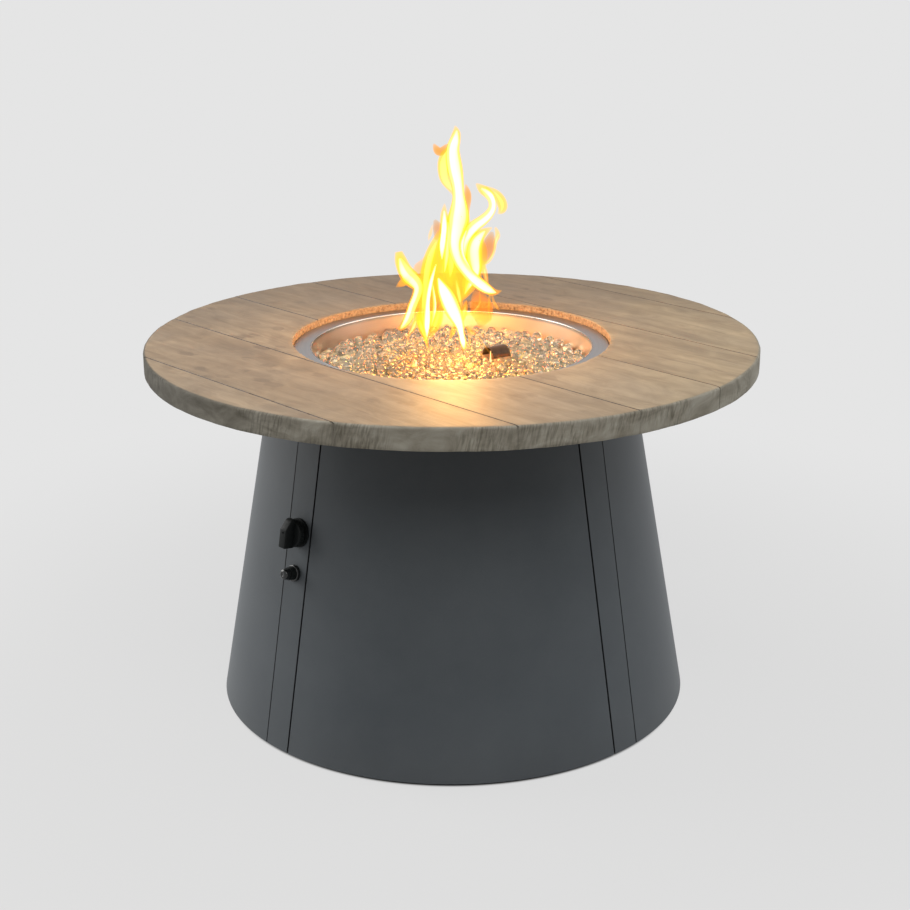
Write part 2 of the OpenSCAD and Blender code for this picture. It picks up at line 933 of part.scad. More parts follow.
module spark_electrode() {
  color("white")
    translate([electrode_at[0], electrode_at[1], pan_under_z - electrode_tail]) {
      cylinder(r = electrode_r, h = electrode_h);
      cylinder(r = spark_pin_r, h = hood_z + 8 - pan_under_z + electrode_tail);
    }
}

module thermocouple() {
  color("peru")
    translate([thermocouple_at[0], thermocouple_at[1], pan_under_z - electrode_tail]) {
      cylinder(r = electrode_r, h = thermocouple_h);
      cylinder(r = thermocouple_tip_r, h = hood_z + 6 - pan_under_z + electrode_tail);
    }
}

// Arched hood over the electrode, on the two cheeks of its bracket
module igniter_hood() {
  color("#3a2a22")
    translate([hood_at[0], hood_at[1], hood_z])
      rotate([0, 0, hood_turn])
        rotate([90, 0, 90])
          translate([0, 0, -hood_len / 2])
            linear_extrude(hood_len)
              difference() {
                circle(r = hood_r);
                circle(r = hood_r - hood_t);
                translate([-2 * hood_r, -4 * hood_r])
                  square([4 * hood_r, 4 * hood_r]);
              }
}

// Gas valve behind its post: neck through the post, body, inlet at the back and outlet above
module control_valve() {
  color("goldenrod")
    on_post(control_az, knob_axis_h)
      difference() {
        union() {
          translate([0, 0, valve_front - valve_len])
            cylinder(r = valve_r, h = valve_len);
          translate([0, 0, valve_front - overcut])
            cylinder(r = neck_r, h = neck_out - valve_front + overcut);
          translate([0, 0, valve_port_z])
            rotate([-90, 0, 0])
              cylinder(r = valve_port_r, h = valve_port_y);
          translate([0, 0, valve_inlet_z])
            cylinder(r = valve_port_r, h = 2 * valve_inlet);
        }
        translate([0, 0, stem_z0 - 1])
          cylinder(r = seat_r + loose, h = neck_out - stem_z0 + 2);
      }
}

module valve_bezel() {
  color("#151515")
    on_post(control_az, knob_axis_h)
      translate([0, 0, bezel_z0])
        tube(bezel_r, neck_r + slip, bezel_z1 - bezel_z0);
}

module valve_stem() {
  color("silver")
    on_post(control_az, knob_axis_h)
      translate([0, 0, stem_z0 + knob_travel])
        cylinder(r = stem_r, h = stem_z1 - stem_z0 - knob_travel);
}

module stem_spring_seat() {
  color("gray")
    on_post(control_az, knob_axis_h)
      translate([0, 0, -seat_t])
        tube(seat_r, stem_r + slip, seat_t);
}

module control_knob() {
  shoulder = knob_z0 + knob_skirt_h;
  color("#151515")
    on_post(control_az, knob_axis_h)
      difference() {
        union() {
          translate([0, 0, knob_z0])
            cylinder(r = knob_r, h = knob_skirt_h);
          side_sheet(-grip_w / 2, grip_w, [
            [-knob_r, shoulder - overcut],
            [knob_r + 2, shoulder - overcut],
            [knob_r + 2, shoulder + 6],
            [knob_r / 3, knob_reach],
            [-knob_r, knob_reach]
          ]);
        }
        translate([0, 0, knob_z0 - overcut])
          cylinder(r = stem_r + slip, h = stem_z1 - knob_z0 + overcut + touch);
      }
}

module igniter_housing() {
  color("#151515")
    on_post(control_az, button_h)
      difference() {
        translate([0, 0, barrel_in])
          cylinder(r = barrel_r, h = barrel_out - barrel_in);
        translate([0, 0, 1])
          cylinder(r = button_r + loose, h = barrel_out);
        translate([0, 0, barrel_in + 4])
          cylinder(r = battery_r + loose, h = barrel_out - barrel_in);
      }
}

module igniter_collar() {
  color("#151515")
    on_post(control_az, button_h)
      translate([0, 0, bezel_z0])
        tube(collar_r, barrel_r + slip, collar_h);
}

module igniter_nut() {
  color("#151515")
    on_post(control_az, button_h)
      translate([0, 0, valve_front - 7])
        difference() {
          cylinder(r = barrel_r + 5, h = 7, $fn = 6);
          translate([0, 0, -overcut])
            cylinder(r = barrel_r + slip, h = 7 + 2 * overcut);
        }
}

module igniter_battery() {
  color("steelblue")
    on_post(control_az, button_h)
      translate([0, 0, barrel_in + 4]) {
        cylinder(r = battery_r, h = battery_len - 2);
        cylinder(r = battery_r * 0.35, h = battery_len);
      }
}

// Button with a domed end, its foot clear of the barrel's floor by its travel
module igniter_button() {
  foot_z = 1 + button_travel + 0.4;
  color("#151515")
    on_post(control_az, button_h)
      translate([0, 0, foot_z])
        rotate_extrude()
          intersection() {
            square([button_r, 20]);
            translate([0, 20 - 2 * button_r])
              circle(r = 2 * button_r);
          }
}

valve_out = [post_point(control_az, knob_axis_h, [0, valve_port_y, valve_port_z]),
  post_vector(control_az, [0, 1, 0])];
valve_in = [post_point(control_az, knob_axis_h, [0, 0, valve_inlet_z]),
  post_vector(control_az, [0, 0, -1])];
regulator_out = [[-regulator_r - regulator_port, regulator_y, outlet_z], [-1, 0, 0]];

module burner_hose() {
  color("silver")
    swept_tube(port_curve(valve_out, orifice_port, burner_hose_pull), hose_r, hose_sides, hose_steps);
}

module supply_hose() {
  color("#202020")
    swept_tube(port_curve(regulator_out, valve_in, supply_hose_pull), hose_r, hose_sides, hose_steps);
}

module spark_lead() {
  start = [post_point(control_az, button_h, [0, 0, barrel_in]), post_vector(control_az, [0, 0, -1])];
  finish = [[electrode_at[0], electrode_at[1], pan_under_z - electrode_tail], [0, 0, -1]];
  color("#202020")
    swept_tube(port_curve(start, finish, spark_lead_pull), lead_r, lead_sides, lead_steps);
}

module thermocouple_lead() {
  start = [post_point(control_az, knob_axis_h, [0, sensor_port_y, valve_front - valve_len]),
    post_vector(control_az, [0, 0, -1])];
  finish = [[thermocouple_at[0], thermocouple_at[1], pan_under_z - electrode_tail], [0, 0, -1]];
  color("peru")
    swept_tube(port_curve(start, finish, sensor_lead_pull), lead_r, lead_sides, lead_steps);
}

// Low pressure regulator: drum, cap, vent boss and the two ports
module regulator() {
  color("gray")
    translate([0, regulator_y, outlet_z]) {
      translate([0, 0, -regulator_h / 2])
        cylinder(r = regulator_r, h = regulator_h * 0.6);
      translate([0, 0, regulator_h * 0.1])
        cylinder(r1 = regulator_r - 2, r2 = regulator_r * 0.6, h = regulator_h * 0.4);
      rotate([0, -90, 0])
        cylinder(r = hose_r + 3, h = regulator_r + regulator_port);
      rotate([-90, 0, 0])
        cylinder(r = inlet_r, h = tank_back - outlet_len - regulator_y - touch);
    }
}

// Hand nut that draws the regulator on to the cylinder valve
module coupling_nut() {
  color("#151515")
    translate([0, coupling_y, outlet_z])
      rotate([-90, 0, 0])
        difference() {
          cylinder(r = coupling_r, h = coupling_len);
          translate([0, 0, -overcut])
            cylinder(r = inlet_r + slip, h = coupling_len + 2 * overcut);
          translate([0, 0, coupling_len - coupling_grip - touch])
            cylinder(r = outlet_r + slip, h = coupling_grip + touch + overcut);
          for (i = [0 : 11])
            rotate([0, 0, i * 30])
              translate([coupling_r + coupling_flute_r / 2, 0, -overcut])
                cylinder(r = coupling_flute_r, h = coupling_len * 0.75);
        }
}

// Half outline of a cylinder wall's surface, set in by skin: two half-ellipse heads
function tank_line(skin) = concat(
  [for (a = [-90 : 10 : 0]) [(tank_r - skin) * cos(a),
    tank_body_z0 + tank_head + (tank_head - skin) * sin(a)]],
  [for (a = [0 : 10 : 90]) [(tank_r - skin) * cos(a),
    tank_body_z1 - tank_head + (tank_head - skin) * sin(a)]]);

module tank_body() {
  inner = tank_line(tank_t);
  color("whitesmoke")
    translate([0, tank_back, 0])
      difference() {
        rotate_extrude()
          polygon(concat(tank_line(0), [for (i = [len(inner) - 1 : -1 : 0]) inner[i]]));
        translate([0, 0, tank_body_z1 - tank_head])
          cylinder(r = tank_neck_r, h = 2 * tank_head);
      }
}

// Half outline of a head with seating clearance, up or down from its widest line
function head_line(way) = [for (a = [0 : 10 : 90])
  [(tank_r + slip) * cos(a), way * (tank_head + slip) * sin(a)]];

module tank_foot() {
  color("whitesmoke")
    translate([0, tank_back, tank_z0])
      difference() {
        tube(tank_foot_r, tank_foot_r - foot_ring_t, tank_body_z0 + tank_head - tank_z0 - overcut);
        translate([0, 0, tank_body_z0 + tank_head - tank_z0])
          rotate_extrude()
            polygon(concat([[0, 0]], head_line(-1)));
      }
}

// Collar with a wide gap for the valve at the front and a hand hold at each side
module tank_collar() {
  z0 = tank_body_z1 - tank_head + overcut;
  color("whitesmoke")
    translate([0, tank_back, 0])
      difference() {
        translate([0, 0, z0])
          tube(tank_collar_r, tank_collar_r - foot_ring_t, tank_top_z - z0);
        translate([0, 0, tank_body_z1 - tank_head])
          rotate_extrude()
            polygon(concat([[0, 0]], head_line(1)));
        translate([-tank_collar_r * 0.7, -2 * tank_collar_r, outlet_z - 40])
          cube([tank_collar_r * 1.4, 2 * tank_collar_r, tank_h]);
        for (side = [-1, 1])
          translate([side * tank_collar_r, 10, tank_top_z - 36])
            rotate([0, 90, 0])
              translate([0, 0, -20])
                linear_extrude(40)
                  hand_hold_outline();
      }
}

module hand_hold_outline() {
  for (end = [-1, 1])
    translate([0, end * 32])
      circle(r = 13);
  square([26, 64], center = true);
}

module tank_valve() {
  valve_z0 = tank_body_z1 - 12;
  color("goldenrod")
    translate([0, tank_back, 0]) {
      translate([0, 0, valve_z0])
        cylinder(r = tank_neck_r - slip, h = outlet_z - valve_z0);
      translate([0, 0, tank_body_z1 + touch])
        cylinder(r = tank_neck_r + 4, h = outlet_z + 16 - tank_body_z1);
      translate([0, 0, outlet_z])
        rotate([90, 0, 0])
          cylinder(r = outlet_r, h = outlet_len);
      translate([0, 0, outlet_z])
        cylinder(r = spindle_r, h = tank_top_z - outlet_z - handwheel_drop);
    }
}

module tank_handwheel() {
  color("#1d3f6b")
    translate([0, tank_back, tank_top_z - handwheel_drop - handwheel_h])
      difference() {
        cylinder(r = handwheel_r, h = handwheel_h);
        translate([0, 0, -overcut])
          cylinder(r = spindle_r + slip, h = handwheel_h + 2 * overcut);
        for (i = [0 : 7])
          rotate([0, 0, i * 45])
            translate([handwheel_r + 4, 0, -overcut])
              cylinder(r = 8, h = handwheel_h + 2 * overcut);
      }
}

module tank_hoop() {
  color("dimgray")
    translate([0, tank_back, plate_z1])
      tube(tank_foot_r + touch + hoop_t, tank_foot_r + touch, hoop_h);
}

table_top();
top_pads();
top_bolts();
top_ring();
control_post();  // post_front_left
post(post_azimuths[1]);  // post_front_right
post(post_azimuths[3]);  // post_rear_left
post(post_azimuths[2]);  // post_rear_right
front_door();
fixed_panel(-post_step);  // left_panel
fixed_panel(post_step);  // right_panel
fixed_panel(2 * post_step);  // rear_panel
door_magnets();
panel_screws();
frame_bolts();
base_plate();
foot_nuts();
levelling_foot(post_azimuths[0]);  // levelling_foot_1
levelling_foot(post_azimuths[1]);  // levelling_foot_2
levelling_foot(post_azimuths[2]);  // levelling_foot_3
levelling_foot(post_azimuths[3]);  // levelling_foot_4
burner_pan();
pan_gasket();
burner_ring();
burner_nipple();
burner_locknut();
air_mixer();
gas_orifice();
glass_fill();
glass_gems();
igniter_bracket();
spark_electrode();
thermocouple();
igniter_hood();
control_valve();
valve_bezel();
valve_stem();
stem_spring_seat();
control_knob();
igniter_housing();
igniter_collar();
igniter_nut();
igniter_battery();
igniter_button();
burner_hose();
supply_hose();
spark_lead();
thermocouple_lead();
regulator();
coupling_nut();
tank_body();
tank_foot();
tank_collar();
tank_valve();
tank_handwheel();
tank_hoop();
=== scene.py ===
# %% [markdown]
# # A gas fire pit table
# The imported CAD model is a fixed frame: each of its nodes already sits in its place, in metres. This
# lesson keeps the nodes whose shape is right and gives them a real finish, and models by hand what the
# solids hold too plainly: the cast plank top, the glass gems, the knob and the igniter, and the hoses.

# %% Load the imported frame
import json
import math
import random
from collections import namedtuple

import bmesh
import bpy
from mathutils import Matrix, Vector


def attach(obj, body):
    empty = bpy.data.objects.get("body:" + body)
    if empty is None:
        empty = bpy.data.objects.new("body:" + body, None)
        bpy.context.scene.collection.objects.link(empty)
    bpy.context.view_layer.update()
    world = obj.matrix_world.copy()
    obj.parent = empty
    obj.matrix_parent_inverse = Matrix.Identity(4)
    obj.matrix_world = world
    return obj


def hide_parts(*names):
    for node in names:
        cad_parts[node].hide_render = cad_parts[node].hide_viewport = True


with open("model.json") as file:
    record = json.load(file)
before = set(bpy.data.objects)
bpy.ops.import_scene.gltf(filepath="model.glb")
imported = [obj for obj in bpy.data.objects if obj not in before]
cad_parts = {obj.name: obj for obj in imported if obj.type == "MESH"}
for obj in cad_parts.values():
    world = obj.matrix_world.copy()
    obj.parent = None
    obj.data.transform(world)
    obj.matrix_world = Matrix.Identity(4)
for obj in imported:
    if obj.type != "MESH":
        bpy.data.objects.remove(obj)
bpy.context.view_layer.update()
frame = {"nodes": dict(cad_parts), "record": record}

nodes = frame["nodes"]

# %% [markdown]
# ## The camera
# A lens and a place can be guessed by eye, but a round table gives them away: the ellipse of its rim
# and the ellipse of its foot fix the elevation and the distance. The camera stands just under 2.9 m
# off and 20 degrees up. The frame is shifted a little, because the table sits low in the picture.

# %% Camera
picture_px, lens_px, sensor_mm = 910, 1648.2, 36
shift_x_px, shift_y_px = 2.5, 55.4
aim_z, stand_off = 0.3149, 2.8592
azimuth, elevation, roll = (math.radians(a) for a in (0.9, 20.26, -0.30))


def pick_none():
    bpy.ops.object.select_all(action="DESELECT")


back = Vector((math.sin(azimuth) * math.cos(elevation), -math.cos(azimuth) * math.cos(elevation),
               math.sin(elevation)))
level = Vector((math.cos(azimuth), math.sin(azimuth), 0))
upright = back.cross(level)
camera_right = level * math.cos(roll) + upright * math.sin(roll)
camera_up = upright * math.cos(roll) - level * math.sin(roll)
pick_none()
bpy.ops.object.camera_add()
camera = bpy.context.object
camera.name = "table_camera"
facing = Matrix((camera_right, camera_up, back)).transposed()
camera.matrix_world = Matrix.LocRotScale(Vector((0, 0, aim_z)) + back * stand_off, facing, None)
camera.data.sensor_width = sensor_mm
camera.data.lens = lens_px * sensor_mm / picture_px
camera.data.shift_x = shift_x_px / picture_px
camera.data.shift_y = shift_y_px / picture_px
bpy.context.scene.camera = camera
bpy.context.scene.view_settings.view_transform = "Standard"
print("camera at", [round(v, 3) for v in camera.location], "lens", round(camera.data.lens, 1), "mm")

# %% [markdown]
# ## Helpers for finishes
# A finish is a small node tree that ends in one Principled shader. Small helpers keep each tree short:
# they add a node and wire its inputs, scale a value, mix or multiply colours, run a value through a ramp
# and measure a place. A node that is wired to others joins their tree, so only a first node is told its
# tree. All patterns read Object coordinates, so they stay on the piece in every view.

# %% Nodes, sums and colours
def new_finish(name, **sockets):
    finish = bpy.data.materials.new(name)
    finish.use_nodes = True
    tree = finish.node_tree
    tree.nodes.clear()
    out = tree.nodes.new("ShaderNodeOutputMaterial")
    skin = tree.nodes.new("ShaderNodeBsdfPrincipled")
    tree.links.new(skin.outputs["BSDF"], out.inputs["Surface"])
    for socket, value in sockets.items():
        skin.inputs[socket.replace("_", " ")].default_value = value
    return finish, skin


def feed(socket, value):
    if isinstance(value, bpy.types.NodeSocket):
        socket.id_data.links.new(value, socket)
    else:
        socket.default_value = value


def add_node(tree, kind, inputs=None, **settings):
    node = tree.nodes.new("ShaderNode" + kind)
    for key, value in settings.items():
        setattr(node, key, value)
    for key, value in (inputs or {}).items():
        feed(node.inputs[key], value)
    return node


def wire(kind, inputs, **settings):
    tree = next(value.id_data for value in inputs.values() if isinstance(value, bpy.types.NodeSocket))
    return add_node(tree, kind, inputs, **settings)


def calc(operation, *values):
    return wire("Math", dict(enumerate(values)), operation=operation).outputs[0]


def scaled(value, factor, plus=0.0):
    return calc("MULTIPLY_ADD", value, factor, plus)


def mix_colour(share, low, high, kind="MIX"):
    low, high = ((*tone, 1) if isinstance(tone, tuple) else tone for tone in (low, high))
    return wire("Mix", {0: share, 6: low, 7: high}, data_type="RGBA", blend_type=kind).outputs[2]


def tint(share, colour, tone):
    return mix_colour(share, colour, tone, "MULTIPLY")


def ramp(value, *stops):
    node = wire("ValToRGB", {"Fac": value})
    marks = node.color_ramp.elements
    while len(marks) < len(stops):
        marks.new(0.5)
    for mark, (place, tone) in zip(marks, stops):
        mark.position = place
        mark.color = (*tone, 1) if isinstance(tone, tuple) else (tone, tone, tone, 1)
    return node.outputs["Color"]


def smooth_step(value, low, high):
    span = {"Value": value, "From Min": low, "From Max": high}
    return wire("MapRange", span, interpolation_type="SMOOTHSTEP").outputs["Result"]


print("helpers for nodes and colours ready")


# %% Places and patterns
def place_on(skin):
    return add_node(skin.id_data, "TexCoord").outputs["Object"]


def vector_calc(operation, *values):
    return wire("VectorMath", dict(enumerate(values)), operation=operation).outputs


def stretch(place, factors):
    return vector_calc("MULTIPLY", place, factors)[0]


def distance(place, spot):
    return vector_calc("DISTANCE", place, spot)["Value"]


def from_axis(place):
    return vector_calc("LENGTH", stretch(place, (1, 1, 0)))["Value"]


def parts_of(place):
    return wire("SeparateXYZ", {0: place}).outputs


def point_at(x, y, z):
    return wire("CombineXYZ", {0: x, 1: y, 2: z}).outputs[0]


def turn_place(place, angle):
    return wire("Mapping", {"Vector": place, "Rotation": (0, 0, angle)}).outputs[0]


def noise(place, scale, detail, rough, warp=0.0):
    if isinstance(scale, tuple):
        place, scale = stretch(place, scale), 1.0
    inputs = {"Vector": place, "Scale": scale, "Detail": detail, "Roughness": rough, "Distortion": warp}
    return wire("TexNoise", inputs).outputs["Fac"]


def lay_skin(skin, colour, rough, height, strength, depth):
    bump = wire("Bump", {"Height": height, "Strength": strength, "Distance": depth}).outputs["Normal"]
    for socket, value in (("Base Color", colour), ("Roughness", rough), ("Normal", bump)):
        feed(skin.inputs[socket], value)


print("helpers for places and patterns ready")

# %% [markdown]
# ## Studio
# The object stands on a pale floor under soft light. Two wide lamps stand at its sides, one stands high
# in front, a faint one hangs above, and the room adds a little from everywhere. The front lamp is high,
# so the overhang of the top keeps the cone dark below it. The background could be lit to its tone, but
# that would flood the object, so the floor and the room show their flat tone only to the camera and to
# what mirrors or passes it.

# %% Floor and room
pale = (0.783, 0.783, 0.783, 1)
floor_r, base_r, shadow_r, shadow_end = 9, 0.4, 0.7, 1.7


def seen_straight(tree):
    path = add_node(tree, "LightPath").outputs
    seen = calc("MAXIMUM", path["Is Camera Ray"], path["Is Glossy Ray"])
    return calc("MAXIMUM", seen, path["Is Transmission Ray"])


def share_out(share, first, second):
    return wire("MixShader", {0: share, 1: first.outputs[0], 2: second.outputs[0]}).outputs[0]


room = bpy.data.worlds.new("pale_room")
bpy.context.scene.world = room
room.use_nodes = True
tree = room.node_tree
tree.nodes.clear()
glow = add_node(tree, "Background", {"Color": (0.95, 0.98, 1.0, 1), "Strength": 0.075})
flat = add_node(tree, "Background", {"Color": pale, "Strength": 1.0})
wire("OutputWorld", {"Surface": share_out(seen_straight(tree), glow, flat)})

pick_none()
bpy.ops.mesh.primitive_circle_add(vertices=96, radius=floor_r, fill_type="NGON", location=(0, 0, 0))
floor = bpy.context.object
floor.name = "pale_floor"
floor_paint, skin = new_finish("pale_floor_paint")
off_axis = from_axis(place_on(skin))
tree = skin.id_data
tree.nodes.remove(skin)
far = smooth_step(off_axis, shadow_r, shadow_end)
clear_of_base = smooth_step(off_axis, base_r - 0.004, base_r + 0.004)
paint = add_node(tree, "BsdfDiffuse", {"Color": (0.55, 0.55, 0.55, 1)})
shine = add_node(tree, "Emission", {"Color": pale})
share = scaled(seen_straight(tree), scaled(far, 0.16, 0.84))
shown = share_out(scaled(share, clear_of_base), paint, shine)
feed(tree.nodes["Material Output"].inputs["Surface"], shown)
floor.data.materials.append(floor_paint)
print("floor and room made")

# %% Lamps
lamps = (
    ("left_softbox", (-2.7, 0.7, 1.4), (0, 0, 0.35), 2.0, 60, (1.0, 0.99, 0.97)),
    ("right_softbox", (2.7, 0.6, 1.4), (0, 0, 0.35), 2.0, 27, (0.97, 0.99, 1.0)),
    ("front_softbox", (0.4, -2.2, 2.8), (0, 0, 0.55), 1.6, 36, (1.0, 0.99, 0.97)),
    ("overhead_softbox", (0.0, -0.4, 3.0), (0, 0, 0.6), 2.4, 26, (1.0, 0.99, 0.97)),
)
for name, place, aim, size, power, tone in lamps:
    bpy.ops.object.light_add(type="AREA", location=place)
    lamp = bpy.context.object
    lamp.name = name
    lamp.data.size = size
    lamp.data.energy = power
    lamp.data.color = tone
    lamp.rotation_euler = (Vector(aim) - Vector(place)).to_track_quat("-Z", "Y").to_euler()
print("lamps", [lamp[0] for lamp in lamps])

# %% [markdown]
# ## Weathered plank finish
# The top is one cast slab that passes for seven old boards. Its colour follows the boards: each has its
# own tone, streaks run along it, and damp has left dark spots. The rim is greyer, with the ticks of a
# saw across it, and the wall of the opening is rough and pitted. The finish turns its coordinates to
# the boards first. After that, distance across gives the board's number and the joint beside it.

# %% Plank coordinates
plank_turn, plank_w = math.radians(-47), 0.178
top_r, well_r, table_h = 0.508, 0.264, 0.624

cast_top, skin = new_finish("weathered_plank_cast", Specular_IOR_Level=0.42)
on_top = place_on(skin)
east, north, _ = parts_of(on_top)
turned = turn_place(on_top, -plank_turn)
along, across, height = parts_of(turned)
board = calc("FLOOR", scaled(across, 1 / plank_w, 0.5))
board_luck = wire("TexWhiteNoise", {"W": calc("ADD", board, 7.3)}, noise_dimensions="1D").outputs["Value"]
shifted = scaled(board_luck, 9.0, along)
run = point_at(shifted, across, height)
print("boards of", plank_w, "m turned", round(math.degrees(plank_turn)), "degrees")

# %% Board colours and streaks
wander = scaled(noise(run, (2.6, 7, 1), 2, 0.5), 0.05, across)
grain_run = point_at(shifted, wander, height)
streaks = noise(grain_run, (1.8, 30, 10), 6, 0.6, 0.4)
fibres = noise(grain_run, (12, 380, 60), 3, 0.6)
clouds = noise(run, 9.0, 4, 0.55, 0.4)
blotches = noise(grain_run, (14, 30, 20), 4, 0.6, 0.8)
wood = ramp(streaks, (0.25, (0.280, 0.204, 0.135)), (0.44, (0.372, 0.280, 0.189)),
            (0.60, (0.418, 0.318, 0.218)), (0.80, (0.468, 0.364, 0.256)))
for share, pattern, *stops in (
    (0.45, fibres, (0.30, 0.80), (0.68, 1.0)),
    (0.8, clouds, (0.30, (0.76, 0.75, 0.74)), (0.66, (1.06, 1.05, 1.03))),
    (0.85, blotches, (0.30, (0.72, 0.70, 0.69)), (0.66, (1.08, 1.08, 1.08))),
    (1.0, board_luck, (0.0, (0.92, 0.90, 0.88)), (0.5, (1.0, 0.99, 0.98)), (1.0, (1.05, 1.06, 1.07))),
):
    wood = tint(share, wood, ramp(pattern, *stops))
# painted shade: the top is made darker towards the back (+y)
back_shade_painted = smooth_step(scaled(clouds, 0.12, north), 0.04, 0.46)
# painted light: the top is made lighter towards the +x side
east_light_painted = smooth_step(scaled(clouds, 0.16, east), 0.16, 0.50)
print("board colours wired")

# %% Damp spots, knots and joints
frayed = scaled(noise(run, 46, 4, 0.65, 0.6), 0.80, -0.40)
spot_run = stretch(run, (19, 34, 0))
spots = wire("TexVoronoi", {"Vector": spot_run, "Scale": 1.0}).outputs
kept_luck, size_luck, _ = wire("SeparateColor", {0: spots["Color"]}).outputs
spot_size = scaled(size_luck, 0.22, 0.16)
spot_edge = calc("SUBTRACT", calc("ADD", spots["Distance"], frayed), spot_size)
damp = scaled(smooth_step(spot_edge, 0.16, -0.10), smooth_step(kept_luck, 0.30, 0.62))
spilled = smooth_step(distance(on_top, (-0.29, -0.10, table_h)), 0.26, 0.10)
elsewhere = scaled(smooth_step(noise(turned, 3.4, 2, 0.5), 0.50, 0.62), 0.7)
damp = scaled(damp, calc("MAXIMUM", spilled, elsewhere))
wood = mix_colour(scaled(damp, 0.62), wood, (0.150, 0.106, 0.072))
wood = tint(back_shade_painted, wood, (0.72, 0.70, 0.69))
wood = tint(east_light_painted, wood, (1.13, 1.17, 1.12))
knots = smooth_step(noise(grain_run, (6, 70, 10), 2, 0.5, 1.2), 0.62, 0.74)
wood = mix_colour(scaled(knots, 0.32), wood, (0.15, 0.110, 0.078))
beside = calc("FRACT", scaled(across, 1 / plank_w))
beside = scaled(calc("ABSOLUTE", calc("SUBTRACT", beside, 0.5)), plank_w)
joint = smooth_step(beside, 0.0022, 0.0009)
wood = mix_colour(scaled(joint, 0.85), wood, (0.055, 0.042, 0.032))
print("spots, knots and joints wired")

# %% Saw marks on the rim and the pitted opening wall
arc = scaled(calc("ARCTAN2", north, east), top_r)
ring = point_at(scaled(height, -0.22, arc), height, 0.0)
ticks = noise(ring, (290, 42, 1), 2, 0.5, 0.5)
patches = noise(ring, (16, 30, 1), 5, 0.62, 0.9)
sawn = smooth_step(noise(ring, (5.5, 8, 1), 2, 0.5), 0.45, 0.56)
rim = ramp(patches, (0.28, (0.196, 0.174, 0.132)), (0.50, (0.318, 0.292, 0.236)),
           (0.72, (0.424, 0.396, 0.332)))
tick_tone = ramp(ticks, (0.34, (0.52, 0.51, 0.48)), (0.56, 1.0), (0.74, (1.16, 1.16, 1.15)))
rim = tint(scaled(sawn, 0.80, 0.04), rim, tick_tone)
# painted shade: the rim is made darker towards its left (-x) side
left_rim_shade_painted = smooth_step(scaled(patches, 0.16, east), -0.02, -0.42)
rim = tint(left_rim_shade_painted, rim, (0.36, 0.36, 0.36))
rim = mix_colour(scaled(joint, 0.25), rim, (0.06, 0.052, 0.042))
pits = noise(on_top, 210, 4, 0.7)
cork = ramp(pits, (0.34, (0.160, 0.092, 0.052)), (0.52, (0.360, 0.230, 0.142)),
            (0.70, (0.470, 0.320, 0.210)))
print("rim and opening wall wired")

# %% Plank skin
reach = from_axis(on_top)
is_rim = smooth_step(reach, top_r - 0.0048, top_r - 0.0012)
is_wall = scaled(smooth_step(reach, well_r + 0.0018, well_r + 0.0004),
                 smooth_step(height, table_h - 0.0003, table_h - 0.0022))
colour = mix_colour(is_wall, mix_colour(is_rim, wood, rim), cork)
rough = scaled(calc("MAXIMUM", is_wall, is_rim), 0.30, scaled(clouds, 0.22, 0.445))
grain = scaled(fibres, 0.5, scaled(streaks, 0.6))
saw_relief = scaled(scaled(ticks, sawn), 0.8, patches)
for share, relief in ((is_rim, saw_relief), (is_wall, scaled(pits, 2.2))):
    grain = wire("Mix", {0: share, 2: grain, 3: relief}).outputs[0]
lay_skin(skin, colour, rough, grain, 0.55, 0.0011)
print("plank finish made")

# %% [markdown]
# ## Modelling helpers
# An operator acts on all that is selected, so each piece is picked alone first, and in edit mode the
# faces, edges or vertices are chosen in code by where they lie or which way they look. An edge lies
# between a near and a far reach from the axis, and between a low and a high end.

# %% Start, join and dress a piece
def alone(piece):
    if bpy.context.mode != "OBJECT":
        bpy.ops.object.mode_set(mode="OBJECT")
    pick_none()
    piece.select_set(True)
    bpy.context.view_layer.objects.active = piece
    return piece


def start_piece(name):
    piece = alone(bpy.context.object)
    piece.name = piece.data.name = name
    bpy.ops.object.transform_apply()
    bpy.ops.object.mode_set(mode="EDIT")
    return piece


def start_cylinder(name, sides, radius, depth, centre):
    pick_none()
    bpy.ops.mesh.primitive_cylinder_add(vertices=sides, radius=radius, depth=depth, location=centre)
    return start_piece(name)


def join_all(pieces, name):
    whole = alone(pieces[0])
    for piece in pieces:
        piece.select_set(True)
    bpy.ops.object.join()
    whole.name = whole.data.name = name
    return whole


def dress(piece, finish, body, slot, *stands_for):
    piece.data.materials.clear()
    piece.data.materials.append(finish)
    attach(piece, body)
    if stands_for:
        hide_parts(*stands_for)
    print(piece.name, len(piece.data.polygons), "faces on", body, "for", ", ".join(stands_for) or "nothing")


print("helpers for pieces ready")

# %% Choose and shape
Lie = namedtuple("Lie", "near far low high")


def out_from_axis(point):
    return math.hypot(point.x, point.y)


def choose(piece, kind, test):
    bpy.ops.mesh.select_mode(type={"verts": "VERT", "edges": "EDGE", "faces": "FACE"}[kind])
    bpy.ops.mesh.select_all(action="DESELECT")
    shape = bmesh.from_edit_mesh(piece.data)
    shape.normal_update()
    found = [item for item in getattr(shape, kind) if test(item)]
    for item in found:
        item.select_set(True)
    shape.select_flush_mode()
    bmesh.update_edit_mesh(piece.data)
    return len(found)


def choose_edges(piece, test):
    def lie(edge):
        a, b = (v.co for v in edge.verts)
        return Lie(*sorted((out_from_axis(a), out_from_axis(b))), *sorted((a.z, b.z)))

    return choose(piece, "edges", lambda edge: test(lie(edge)))


def choose_cap(piece, way):
    return choose(piece, "faces", lambda face: face.normal.z * way > 0.9)


def draw_out(rise):
    bpy.ops.mesh.extrude_region_move(TRANSFORM_OT_translate={"value": (0, 0, rise)})


def inset(thickness, depth=0.0):
    bpy.ops.mesh.inset(thickness=thickness, depth=depth)


def round_off(offset, segments):
    bpy.ops.mesh.bevel(offset=offset, segments=segments, profile=0.5)


def smooth(degrees):
    bpy.ops.object.shade_smooth_by_angle(angle=math.radians(degrees))


print("helpers for shaping ready")

